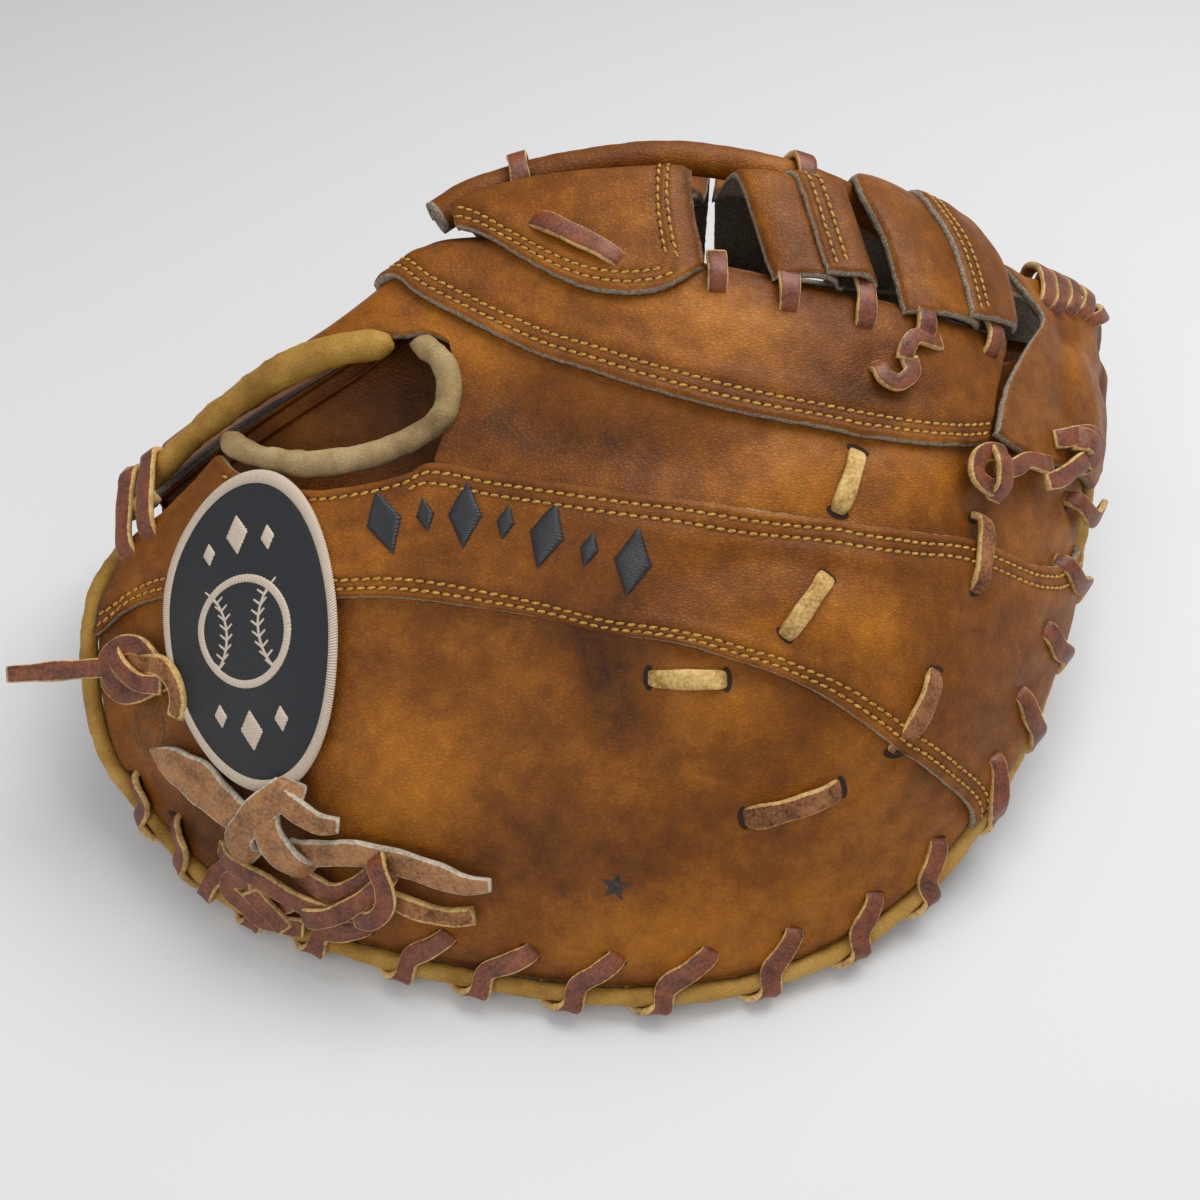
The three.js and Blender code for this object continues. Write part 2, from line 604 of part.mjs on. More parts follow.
// Rolled leather post along the top of the web
const spineLine = table([...place, "lift"], [-0.144, 5.94, 0.4], [-0.128, 5.98, 0.3], [-0.07, 6.12, -0.25],
  [0.03, 6.2, -0.6], [0.15, 6.2, -0.65], [0.25, 6.15, -0.7], [0.33, 6.1, -0.9], [0.365, 6.05, -1]);
const spinePath = spineLine.map((row) => lifted(row.along, row.around, row.lift * spineRadius));
add("web_spine", tube(spinePath, spineRadius, 18, 8), leatherTan);

// Rolled trim of the hand hole and of the thumb side of the wrist
const onSkin = (rows, lift) => rows.map((row) => lifted(row.along, row.around, lift));
const bindingRows = [...holeLowerLip.slice(0, -1), ...holeEnd];
add("hand_hole_binding", tube(onSkin(shifted(bindingRows, 0.03), 0.12 * bindingRadius), bindingRadius, 21, 6),
  bindingSuede);
const wristCut = -0.455;
const rollRows = [
  ...holeUpperLip.map((row) => ({ ...row, lift: -0.35 })),
  ...table([...place, "lift"],
    [-0.427, 4.76, -0.35], [-0.439, 5.2, -0.35], [wristCut, 6.0, -0.35], [wristCut, 7.0, -0.7],
    [wristCut, 8.2, -1.2], [wristCut, 9.2, -1.2], [wristCut, 10.2, -1.2], [wristCut, 11.2, -1.2],
    [wristCut, 12.2, -1.2]),
];
const rollPath = rollRows.map((row) => lifted(row.along, row.around, row.lift * rollRadius));
add("wrist_roll", tube(rollPath, rollRadius, 36, 6), weltYellow);

// Welt between back and palm around the finger half, up the wrist edge
const fingerWeltRows = [
  ...table(place, [-0.431, 3.95], [-0.460, 3.3], [-0.471, 2.3], [-0.474, 1.4], [-0.472, 0.7], [-0.465, 0.15]),
  ...evenly(-0.45, 0.516, 30).map((along) => ({ along, around: 0 })),
];
add("finger_welt", tube(onSkin(fingerWeltRows, -weltSink), weltRadius, 56, 5), weltYellow);

// Welt around the thumb half, close to the floor, and the lace that runs around it
const thumbWeltRows = evenly(-0.43, 0.505, 24).map((along) => ({ along, around: lastStep }));
const thumbWeltPath = onSkin(thumbWeltRows, -weltSink);
add("thumb_welt", tube(thumbWeltPath, weltRadius, 38, 5), weltYellow);

const laceTurns = 10;
const laceStepsPerTurn = 7;
const thumbCurve = new THREE.CatmullRomCurve3(thumbWeltPath, false, "centripetal");
const laceCoil = [];
for (let k = 0; k <= laceTurns * laceStepsPerTurn; k += 1) {
  const share = THREE.MathUtils.lerp(0.04, 0.87, k / (laceTurns * laceStepsPerTurn));
  const centre = thumbCurve.getPointAt(share);
  const tangent = thumbCurve.getTangentAt(share);
  const level = new THREE.Vector3(0, 0, 1).cross(tangent).normalize();
  const upright = tangent.clone().cross(level);
  const angle = (2 * Math.PI * k) / laceStepsPerTurn;
  const normal = level.multiplyScalar(Math.cos(angle)).addScaledVector(upright, Math.sin(angle));
  laceCoil.push({
    point: centre.addScaledVector(normal, weltRadius + laceGap + 0.8 + laceThickness / 2),
    normal,
  });
}
add("thumb_lacing", strip(laceCoil, laceWidth * 0.75, laceThickness), laceBrown);

// Laces over the finger welt: from a hole in the back down around the welt
const fingerLaces = table(["holeAlong", "holeAround", "weltAlong", "layer"],
  [-0.426, 0.60, -0.412, 0], [-0.383, 0.74, -0.374, 0], [-0.330, 0.66, -0.345, 0], [-0.268, 0.50, -0.300, 0],
  [-0.205, 0.40, -0.242, 0], [-0.133, 0.47, -0.163, 0], [-0.060, 0.45, -0.097, 0], [0.013, 0.48, -0.018, 0],
  [0.093, 0.50, 0.057, 0], [0.167, 0.53, 0.147, 0], [0.240, 0.51, 0.225, 0], [0.300, 0.59, 0.288, 0],
  [0.347, 0.99, 0.348, 1], [0.373, 1.35, 0.390, 1], [0.402, 1.60, 0.425, 1], [0.426, 1.94, 0.452, 1],
  [0.443, 2.42, 0.478, 1]);
fingerLaces.forEach((row, index) => {
  const level = row.layer * (layerStep + 0.3) + laceGap + laceThickness / 2;
  const reach = weltRadius + 1.3 * laceGap + laceThickness / 2;
  const hole = { along: row.holeAlong, around: row.holeAround };
  const foot = { along: row.weltAlong, around: fingerInset(row.weltAlong, trimInset + 1.5) };
  const places = [0, 0.5, 1].map((share) => {
    const spot = between(hole, foot, share);
    return { point: lifted(spot.along, spot.around, level), normal: skinNormal(spot.along, spot.around) };
  });
  const centre = lifted(row.weltAlong, 0, -weltSink);
  const { inward, outward } = lacingFrame(row.weltAlong, 0);
  for (const degrees of [10, 60, 105, 145]) {
    const angle = THREE.MathUtils.degToRad(degrees);
    const normal = outward.clone().multiplyScalar(Math.cos(angle)).addScaledVector(inward, -Math.sin(angle));
    places.push({ point: centre.clone().addScaledVector(normal, reach), normal });
  }
  add(`edge_lace_${index + 1}`, strip(places, laceWidth, laceThickness), laceBrown);
});

// Short laces that hold the finger padding, each seen as one long stitch
const spot = [...place, "lift"];
const padLaces = [
  { name: "pad_lace_upper", ends: [[0.220, 3.83], [0.200, 3.44]], layer: 0, material: laceCream },
  { name: "pad_lace_middle", ends: [[0.186, 3.06], [0.150, 2.74]], layer: 1, material: laceCream },
  { name: "pad_lace_lower", ends: [[0.040, 2.52], [0.103, 2.52]], layer: 0, material: laceCream },
  { name: "pad_lace_tip_upper", ends: [[0.330, 3.26], [0.320, 2.74]], layer: 1, material: laceBrown },
  { name: "pad_lace_tip_lower", ends: [[0.280, 2.36], [0.250, 1.86]], layer: 1, material: laceBrown },
  { name: "pad_lace_suede", ends: [[0.120, 1.67], [0.204, 1.75]], layer: 0, material: laceBrown },
];
for (const lace of padLaces) {
  const level = lace.layer * layerStep + laceGap;
  const rows = table(spot, [...lace.ends[0], level], [...lace.ends[1], level]);
  add(lace.name, skinStrip(rows, 4, laceWidth, laceThickness), lace.material);
}

// Laces of the web: through the base tab, around the spine, at the feet of the bars
const aboveWeb = thirdLayer + laceGap;
const aboveSecond = secondLayer + laceGap;
const webLaces = {
  web_lace_tab: table(spot, [-0.055, 5.42, aboveWeb], [0.040, 5.28, aboveWeb]),
  bar_foot_lace_1: table(spot, [0.160, 5.2, aboveWeb], [0.160, 4.93, aboveWeb], [0.164, 4.70, aboveSecond]),
  bar_foot_lace_2: table(spot, [0.226, 5.26, aboveWeb], [0.226, 5.0, aboveWeb], [0.222, 4.76, aboveSecond]),
  bar_foot_lace_3: table(spot,
    [0.347, 5.2, aboveWeb + trimGap / 2], [0.347, 4.92, aboveWeb + trimGap / 2], [0.342, 4.66, aboveSecond]),
};
for (const [name, rows] of Object.entries(webLaces)) {
  add(name, skinStrip(rows, 5, laceWidth, laceThickness), laceBrown);
}

// Laces that loop over the spine
const spineCurve = new THREE.CatmullRomCurve3(spinePath, false, "centripetal");
for (const loop of [{ name: "spine_lace_heel", share: 0.16 }, { name: "spine_lace_tip", share: 0.64 }]) {
  const centre = spineCurve.getPointAt(loop.share);
  const tangent = spineCurve.getTangentAt(loop.share);
  const inward = tangent.clone().cross(new THREE.Vector3(0, 0, 1)).normalize().negate();
  const outward = tangent.clone().cross(inward);
  const places = [-85, -50, -17, 17, 50, 85].map((degrees) => {
    const angle = THREE.MathUtils.degToRad(degrees);
    const normal = outward.clone().multiplyScalar(Math.cos(angle)).addScaledVector(inward, Math.sin(angle));
    const reach = spineRadius + laceGap + laceThickness / 2;
    return { point: centre.clone().addScaledVector(normal, reach), normal };
  });
  add(loop.name, strip(places, laceWidth, laceThickness), laceBrown);
}

// Closely spaced laces over the rim of the tip cap
const rimLaces = table(["along"], [0.434], [0.452], [0.470], [0.488], [0.505]);
rimLaces.forEach((row, index) => {
  const level = aboveSecond + (index === 0 ? 1.2 : 0);
  const rows = table(spot,
    [row.along - 0.012, 5.45, level], [row.along, 6.0, level + trimGap / 2], [row.along, 6.6, level]);
  add(`rim_lace_${index + 1}`, skinStrip(rows, 6, laceWidth * 0.7, laceThickness), laceBrown);
});

// Laces across the slit between the hand hole and the wrist
const slitLaces = {
  slit_lace_1: table(spot,
    [-0.398, 3.9, aboveSecond], [-0.401, 4.35, aboveSecond], [-0.405, 4.85, aboveSecond]),
  slit_lace_2: table(spot,
    [-0.421, 3.72, aboveSecond], [-0.424, 4.25, aboveSecond], [-0.426, 4.8, aboveSecond]),
};
for (const [name, rows] of Object.entries(slitLaces)) {
  add(name, skinStrip(rows, 7, laceWidth, laceThickness), laceBrown);
}

// Oval label sewn over the strap panel
const label = { along: -0.295, around: 2.88, halfAround: 1.15, lean: 0.012 };
const labelSides = 24;
const labelRings = [0.02, 0.55, 1];
const labelLevel = secondLayer + layerGap + labelThickness;
function labelGrid(lift) {
  return Array.from({ length: labelRings.length }, (_, ring) =>
    Array.from({ length: labelSides }, (__, k) => {
      const angle = (2 * Math.PI * k) / labelSides;
      const up = Math.sin(angle) * labelRings[ring];
      const right = (Math.cos(angle) * labelRings[ring] * labelWidth) / 2 / mittLength;
      const along = label.along + right - label.lean * up;
      return lifted(along, label.around + label.halfAround * up, lift);
    }));
}
function closedDisc(outer, inner) {
  const vertices = [];
  for (const grid of [outer, inner]) {
    for (const point of grid.flat()) vertices.push(point.x, point.y, point.z);
  }
  const rings = outer.length;
  const id = (side, ring, k) => (side * rings + ring) * labelSides + (k % labelSides);
  const faces = [];
  for (let k = 0; k < labelSides; k += 1) {
    for (let ring = 0; ring < rings - 1; ring += 1) {
      faces.push(id(0, ring, k), id(0, ring + 1, k), id(0, ring + 1, k + 1));
      faces.push(id(0, ring, k), id(0, ring + 1, k + 1), id(0, ring, k + 1));
      faces.push(id(1, ring, k), id(1, ring + 1, k + 1), id(1, ring + 1, k));
      faces.push(id(1, ring, k), id(1, ring, k + 1), id(1, ring + 1, k + 1));
    }
    faces.push(id(0, rings - 1, k), id(1, rings - 1, k), id(1, rings - 1, k + 1));
    faces.push(id(0, rings - 1, k), id(1, rings - 1, k + 1), id(0, rings - 1, k + 1));
    if (k > 0 && k < labelSides - 1) {
      faces.push(id(0, 0, 0), id(0, 0, k), id(0, 0, k + 1));
      faces.push(id(1, 0, 0), id(1, 0, k + 1), id(1, 0, k));
    }
  }
  return facingOut(indexed(vertices, faces));
}
add("label_patch", closedDisc(labelGrid(labelLevel), labelGrid(labelLevel - labelThickness)), labelThread);

// Knots: crossing strips joined into one body
const knot = (strips, width, thickness) =>
  joined(strips.map((rows) => skinStrip(table(spot, ...rows), 5, width, thickness)));
add("knot_index_finger", knot([
  [[0.232, 4.46, 3.6], [0.255, 4.6, 5.4], [0.288, 4.76, 5.0]],
  [[0.240, 4.75, 4.6], [0.258, 4.6, 6.4], [0.268, 4.42, 4.6]],
], laceWidth, laceThickness), laceBrown);
add("knot_tip_inner", knot([
  [[0.322, 3.72, 3.4], [0.360, 3.62, 6.7], [0.405, 3.45, 6.4]],
  [[0.350, 3.85, 6.5], [0.365, 3.62, 7.8], [0.370, 3.35, 6.4]],
], laceWidth, laceThickness), laceBrown);
add("knot_tip_outer", knot([
  [[0.432, 3.75, 3.6], [0.440, 3.35, 6.4], [0.432, 2.85, 5.0]],
  [[0.415, 3.25, 5.0], [0.438, 3.3, 7.4], [0.458, 3.4, 5.0]],
], laceWidth, laceThickness), laceBrown);

// Lace knotted at the wrist edge, its free end reaching straight out past the welt
const wristTailLength = 26;
const wristTailDirection = new THREE.Vector3(-1, -0.06, -0.04).normalize();
const wristTailRows = table(spot, [-0.395, 2.55, 0.7], [-0.425, 2.55, 3.2], [-0.437, 2.40, 4.2]);
const wristTail = skinPlaces(wristTailRows, 3, laceThickness);
const wristTailRoot = wristTail[wristTail.length - 1];
for (const share of [0.25, 0.5, 0.75, 1]) {
  const point = wristTailRoot.point.clone();
  point.addScaledVector(wristTailDirection, share * wristTailLength);
  wristTail.push({ point, normal: wristTailRoot.normal });
}
const wristLoops = [
  table(spot, [-0.385, 2.25, 0.7], [-0.415, 2.3, 4.2], [-0.438, 2.62, 4.4], [-0.45, 2.8, 3.6]),
  table(spot, [-0.372, 2.02, 0.7], [-0.385, 2.2, 2.2], [-0.40, 2.5, 2.2]),
];
add("wrist_knot", joined([
  strip(wristTail, laceWidth, laceThickness),
  ...wristLoops.map((rows) => skinStrip(rows, 5, laceWidth, laceThickness)),
]), laceBrown);

// Leather tie: a flat tail, a knot and a long tail
add("tie_thong", knot([
  [[-0.388, 1.66, 0.7], [-0.350, 1.72, 0.9], [-0.305, 1.50, 2.6], [-0.262, 1.22, 3.0]],
  [[-0.305, 1.20, 1.2], [-0.268, 1.42, 4.2], [-0.225, 1.62, 3.6]],
  [[-0.275, 1.66, 3.0], [-0.250, 1.35, 4.6], [-0.225, 1.25, 4.0], [-0.160, 1.20, 2.6], [-0.095, 1.06, 2.2]],
], tieWidth, tieThickness), tieLeather);

// End knots of the edge lace, below the tie
add("edge_lace_knot", knot([
  [[-0.325, 0.94, 2.6], [-0.285, 0.80, 3.4], [-0.235, 0.74, 4.4], [-0.170, 0.80, 3.2], [-0.105, 0.76, 0.3]],
  [[-0.300, 0.58, 3.0], [-0.262, 0.78, 4.6], [-0.225, 0.92, 3.4]],
  [[-0.252, 0.58, 3.4], [-0.228, 0.78, 5.4], [-0.195, 0.92, 3.4]],
], laceWidth, laceThickness), laceBrown);

export default mitt;
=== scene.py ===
import functools
import math

import bmesh
import bpy
import numpy as np
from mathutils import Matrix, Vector
from mathutils.bvhtree import BVHTree


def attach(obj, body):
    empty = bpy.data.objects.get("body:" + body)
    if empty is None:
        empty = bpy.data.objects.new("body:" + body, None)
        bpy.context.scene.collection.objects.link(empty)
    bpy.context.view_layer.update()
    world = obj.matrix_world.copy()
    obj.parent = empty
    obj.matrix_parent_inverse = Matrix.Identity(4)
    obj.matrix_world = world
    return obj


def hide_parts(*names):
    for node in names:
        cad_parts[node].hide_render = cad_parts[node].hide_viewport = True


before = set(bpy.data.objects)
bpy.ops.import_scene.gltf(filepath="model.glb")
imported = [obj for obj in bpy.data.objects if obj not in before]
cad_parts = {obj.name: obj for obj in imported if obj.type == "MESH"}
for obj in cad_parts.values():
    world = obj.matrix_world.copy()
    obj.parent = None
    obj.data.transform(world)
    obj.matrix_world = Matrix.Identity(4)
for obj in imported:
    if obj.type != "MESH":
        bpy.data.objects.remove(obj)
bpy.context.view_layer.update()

# Camera: looks down at the mitt from its laced side, as a person stands over a table.
camera = bpy.data.objects.new("camera", bpy.data.cameras.new("camera"))
bpy.context.collection.objects.link(camera)
camera.location = (0, -0.2828, 0.3821)
camera.rotation_euler = (Vector((0, 0, 0.045)) - camera.location).to_track_quat("-Z", "Y").to_euler()
camera.data.angle = math.radians(42)
camera.data.clip_start = 0.01
bpy.context.scene.camera = camera

# Studio: white sweep of paper under and behind the mitt, its colour darkened towards the back as
# painted shade for the falling light; a large soft lamp from the right and behind, a weaker one
# from the front, and an even pale room.
MM = 0.001
bpy.context.scene.view_settings.view_transform = "Standard"


def colour(code):
    """Linear colour of an sRGB hex code."""
    parts = [int(code[k:k + 2], 16) / 255 for k in (1, 3, 5)]
    return [p / 12.92 if p <= 0.04045 else ((p + 0.055) / 1.055) ** 2.4 for p in parts] + [1]


def add_node(tree, kind, inputs=None, **settings):
    """Adds a node; an input is a value, or the socket that feeds it."""
    made = tree.nodes.new(kind)
    for name, value in settings.items():
        setattr(made, name, value)
    for key, value in (inputs or {}).items():
        if isinstance(value, bpy.types.NodeSocket):
            tree.links.new(value, made.inputs[key])
        else:
            made.inputs[key].default_value = value
    return made


def new_material(name):
    """Empty material with its tree and its shader."""
    material = bpy.data.materials.new(name)
    material.use_nodes = True
    tree = material.node_tree
    return material, tree, tree.nodes["Principled BSDF"]


def own_place(tree):
    """Coordinates of the object that the material is on."""
    return add_node(tree, "ShaderNodeTexCoord").outputs["Object"]


def point_value(tree, name):
    """Named value stored on the points of the piece."""
    return add_node(tree, "ShaderNodeAttribute", attribute_name=name).outputs["Fac"]


def noise(tree, where, scale, detail, roughness=0.5, distortion=0.0):
    return add_node(tree, "ShaderNodeTexNoise", {
        "Vector": where, "Scale": scale, "Detail": detail, "Roughness": roughness,
        "Distortion": distortion}).outputs


def maths(tree, operation, *values):
    return add_node(tree, "ShaderNodeMath", dict(enumerate(values)), operation=operation).outputs[0]


def spread(tree, value, low, high, new_low=0.0, new_high=1.0, **settings):
    """Value brought from one range to another."""
    return add_node(tree, "ShaderNodeMapRange", {
        0: value, 1: low, 2: high, 3: new_low, 4: new_high}, **settings).outputs[0]


def blend(tree, share, first, second):
    """Mix of two colours; a colour is a hex code or a socket."""
    first, second = (colour(one) if isinstance(one, str) else one for one in (first, second))
    return add_node(tree, "ShaderNodeMix", {0: share, 6: first, 7: second}, data_type="RGBA").outputs[2]


def ramp(tree, value, *stops):
    """Colour ramp from (position, hex code) stops, the first and the last one first."""
    made = add_node(tree, "ShaderNodeValToRGB", {0: value})
    elements = made.color_ramp.elements
    for element, (position, code) in zip(elements, stops):
        element.position, element.color = position, colour(code)
    for position, code in stops[2:]:
        elements.new(position).color = colour(code)
    return made.outputs["Color"]


def finish(tree, shader, tint, roughness, height=None, strength=0.5, distance=0.0001):
    """Gives a shader its colour, its roughness and its bump; each is a value or a socket."""
    tree.links.new(tint, shader.inputs["Base Color"])
    if isinstance(roughness, bpy.types.NodeSocket):
        tree.links.new(roughness, shader.inputs["Roughness"])
    else:
        shader.inputs["Roughness"].default_value = roughness
    if height is not None:
        bump = add_node(tree, "ShaderNodeBump",
                        {"Strength": strength, "Distance": distance, "Height": height})
        tree.links.new(bump.outputs[0], shader.inputs["Normal"])


paper, tree, shader = new_material("matt_white_paper")
place = add_node(tree, "ShaderNodeSeparateXYZ", {0: own_place(tree)})
# Painted shade: the white paper is coloured darker grey towards the back, where the light falls off.
painted_falloff = spread(tree, place.outputs["Y"], 0.05, 1.0)
finish(tree, shader, blend(tree, painted_falloff, "#dedede", "#8f9091"), 0.7)

sweep_profile = [(-2.0, 0), (0.9, 0), (1.3, 0.03), (1.6, 0.15), (1.8, 0.4), (1.9, 0.9), (1.9, 2.2)]
sweep = bpy.data.meshes.new("paper_sweep")
sweep.from_pydata(
    [(side, y, z) for y, z in sweep_profile for side in (-2.5, 2.5)], [],
    [(2 * k, 2 * k + 1, 2 * k + 3, 2 * k + 2) for k in range(len(sweep_profile) - 1)])
sweep.materials.append(paper)
for face in sweep.polygons:
    face.use_smooth = True
floor = bpy.data.objects.new("paper_sweep", sweep)
bpy.context.collection.objects.link(floor)

for name, spot, size, power in (
        ("lamp_key", (0.35, 0.45, 0.95), 0.7, 9.0), ("lamp_front", (-0.5, -0.9, 0.8), 0.9, 3.0)):
    lamp = bpy.data.objects.new(name, bpy.data.lights.new(name, "AREA"))
    lamp.data.size = size
    lamp.data.energy = power
    lamp.location = spot
    lamp.rotation_euler = (Vector((0, 0, 0.05)) - lamp.location).to_track_quat("-Z", "Y").to_euler()
    bpy.context.collection.objects.link(lamp)
room = bpy.data.worlds.new("room")
room.use_nodes = True
room.node_tree.nodes["Background"].inputs["Color"].default_value = colour("#f4f6f8")
room.node_tree.nodes["Background"].inputs["Strength"].default_value = 0.60
bpy.context.scene.world = room

# Outer skin of the mitt, the form that every piece of leather lies on. It is read at "along",
# a share of the length, and "around", steps from the finger lacing (0) over the ridge (5), the
# rim of the web (6) and the far wall (8) down to the floor and the thumb lacing (13).
MITT_LENGTH, MITT_DEPTH, MITT_HEIGHT, BACK_BULGE = 300, 220, 135, 22
EDGE_RISE = 5.2
# along, edge y, edge z, ridge y, ridge z, bulge, rim y, rim z, far y, far z, thumb y
SECTIONS = np.array([
    (-0.487, -0.064, 0.281, 0.077, 0.444, 0.18, 0.123, 0.385, 0.191, 0.237, 0.000),
    (-0.467, -0.150, 0.207, 0.091, 0.481, 0.27, 0.141, 0.415, 0.236, 0.252, -0.010),
    (-0.433, -0.211, 0.126, 0.109, 0.526, 0.41, 0.164, 0.444, 0.282, 0.281, -0.090),
    (-0.350, -0.322, 0.059, 0.132, 0.667, 0.68, 0.186, 0.578, 0.345, 0.341, -0.218),
    (-0.250, -0.390, 0.048, 0.164, 0.812, 0.86, 0.227, 0.704, 0.409, 0.415, -0.290),
    (-0.117, -0.441, 0.048, 0.255, 0.896, 0.95, 0.355, 0.904, 0.491, 0.489, -0.343),
    (0.033, -0.466, 0.048, 0.209, 0.919, 1.00, 0.391, 0.985, 0.527, 0.519, -0.366),
    (0.167, -0.434, 0.048, 0.195, 0.896, 0.95, 0.391, 0.956, 0.532, 0.489, -0.341),
    (0.283, -0.346, 0.081, 0.200, 0.822, 0.82, 0.391, 0.828, 0.523, 0.459, -0.236),
    (0.367, -0.216, 0.156, 0.241, 0.711, 0.59, 0.386, 0.722, 0.509, 0.430, -0.090),
    (0.433, -0.043, 0.237, 0.300, 0.622, 0.41, 0.409, 0.622, 0.495, 0.400, 0.073),
    (0.490, 0.196, 0.333, 0.373, 0.526, 0.23, 0.432, 0.531, 0.486, 0.378, 0.282),
    (0.517, 0.382, 0.430, 0.409, 0.456, 0.09, 0.423, 0.459, 0.464, 0.363, 0.340),
])
SWELLING = ((0.13, 0.44), (0.32, 0.93), (0.56, 1.0), (0.80, 0.60))
LAST_STEP = 13
FIRST_ALONG, LAST_ALONG = SECTIONS[0, 0], SECTIONS[-1, 0]
STATIONS = SECTIONS[:, 0] * MITT_LENGTH


def section_points(row):
    """The fourteen points of one section, in millimetres."""
    _, edge_y, edge_z, ridge_y, ridge_z, bulge, rim_y, rim_z, far_y, far_z, thumb_y = row
    edge = np.array([edge_y * MITT_DEPTH, edge_z * MITT_HEIGHT])
    ridge = np.array([ridge_y * MITT_DEPTH, ridge_z * MITT_HEIGHT])
    rim = np.array([rim_y * MITT_DEPTH, rim_z * MITT_HEIGHT])
    far = np.array([far_y * MITT_DEPTH, far_z * MITT_HEIGHT])
    thumb = thumb_y * MITT_DEPTH
    chord = ridge - edge
    up = np.array([-chord[1], chord[0]]) / np.hypot(*chord)
    back = [edge + share * chord + swell * bulge * BACK_BULGE * up for share, swell in SWELLING]
    wall = far - rim
    wall_middle = rim + 0.5 * wall + 0.16 * np.array([-wall[1], wall[0]])
    floor_start = far[0] - 0.08 * MITT_DEPTH
    floor_end = thumb + min(0.055 * MITT_DEPTH, 0.3 * (floor_start - thumb))
    return [edge, *back, ridge, rim, wall_middle, far, (far[0] - 0.014 * MITT_DEPTH, 0.3 * far[1]),
            (floor_start, 0), (0.55 * floor_start + 0.45 * thumb, 0), (floor_end, 0), (thumb, EDGE_RISE)]


SECTION_TABLE = np.array([np.array([np.asarray(p,
                                               float) for p in section_points(row)]) for row in SECTIONS])
SLOPES = np.empty_like(SECTION_TABLE)
for index in range(len(STATIONS)):
    before, after = max(index - 1, 0), min(index + 1, len(STATIONS) - 1)
    SLOPES[index] = (SECTION_TABLE[after] - SECTION_TABLE[before]) / (STATIONS[after] - STATIONS[before])


def smooth_skin(along, around):
    """Point of the skin before any dent, for arrays of places."""
    x = np.asarray(along, float) * MITT_LENGTH
    around = np.clip(np.asarray(around, float), 0, LAST_STEP)
    x, around = np.broadcast_arrays(x, around)
    shape = x.shape
    x, around = x.ravel(), around.ravel()
    index = np.clip(np.searchsorted(STATIONS, x, side="right") - 1, 0, len(STATIONS) - 2)
    span = STATIONS[index + 1] - STATIONS[index]
    t = np.clip((x - STATIONS[index]) / span, 0, 1)[:, None, None]
    span = span[:, None, None]
    lines = ((2 * t**3 - 3 * t**2 + 1) * SECTION_TABLE[index] + (t**3 - 2 * t**2 + t) * span * SLOPES[index]
             + (-2 * t**3 + 3 * t**2) * SECTION_TABLE[index + 1] + (t**3 - t**2) * span * SLOPES[index + 1])
    step = np.clip(np.floor(around).astype(int), 0, LAST_STEP - 1)
    s = (around - step)[:, None]
    row = np.arange(len(x))
    p1, p2 = lines[row, step], lines[row, step + 1]
    p0 = np.where((step > 0)[:, None], lines[row, np.maximum(step - 1, 0)], 2 * p1 - p2)
    p3 = np.where((step < LAST_STEP - 1)[:, None], lines[row, np.minimum(step + 2, LAST_STEP)], 2 * p2 - p1)
    yz = 0.5 * (2 * p1 + (p2 - p0) * s + (2 * p0 - 5 * p1 + 4 * p2 - p3) * s**2
                + (3 * p1 - p0 - 3 * p2 + p3) * s**3)
    return np.stack([x, yz[:, 0], np.maximum(yz[:, 1], 0)], axis=1).reshape(shape + (3,))


def unit(vectors):
    return vectors / np.maximum(np.linalg.norm(vectors, axis=-1, keepdims=True), 1e-9)


def surface_normal(surface, along, around):
    """Outward normal of a surface function at arrays of places."""
    along, around = np.broadcast_arrays(np.asarray(along, float), np.asarray(around, float))
    along = np.clip(along, FIRST_ALONG, LAST_ALONG)
    ahead = surface(np.minimum(along + 0.002, LAST_ALONG),
                    around) - surface(np.maximum(along - 0.002, FIRST_ALONG), around)
    aside = surface(along,
                    np.minimum(around + 0.03, LAST_STEP)) - surface(along, np.maximum(around - 0.03, 0))
    return unit(np.cross(ahead, aside))


# Dents and swells that use has left in the leather: along, around, half length in mm, half width
# in mm, turn in degrees from the length of the mitt, and height in mm.
DENTS = [
    (0.012, 2.38, 22, 9, -52, -4.2), (0.085, 2.42, 18, 12, -30, 2.2), (-0.045, 1.9, 26, 16, -60, -1.2),
    (0.030, 3.76, 34, 10, -4, -2.6), (0.140, 3.60, 16, 9, 20, 2.0), (-0.105, 4.25, 18, 9, -25, 1.8),
    (-0.065, 3.95, 16, 8, -35, -1.8), (0.100, 3.12, 20, 8, 18, -2.2), (0.205, 2.75, 22, 9, -20, 1.8),
    (0.240, 4.10, 20, 10, 5, -1.4), (0.090, 4.60, 26, 9, 0, 1.3), (-0.150, 1.85, 30, 18, -70, 1.4),
    (0.280, 3.12, 14, 8, 30, -1.6), (0.300, 3.62, 16, 8, -15, 1.2), (-0.130, 2.3, 26, 10, 20, -1.0),
    (0.508, 3.9, 6, 6, 0, -3.2), (0.500, 2.84, 6, 6, 0, -2.6), (0.455, 4.2, 12, 7, 40, 1.8),
    (0.447, 5.0, 9, 6, 0, -2.2), (0.470, 3.2, 10, 6, 30, 1.6), (-0.40, 2.4, 18, 12, 60, -1.5),
    (-0.38, 1.55, 16, 10, 0, 1.4), (0.18, 1.1, 40, 9, -15, -1.0), (0.03, 0.95, 50, 8, 5, 0.8),
    (0.30, 1.9, 22, 10, -45, -1.1), (-0.25, 0.9, 30, 8, 15, -0.8),
]
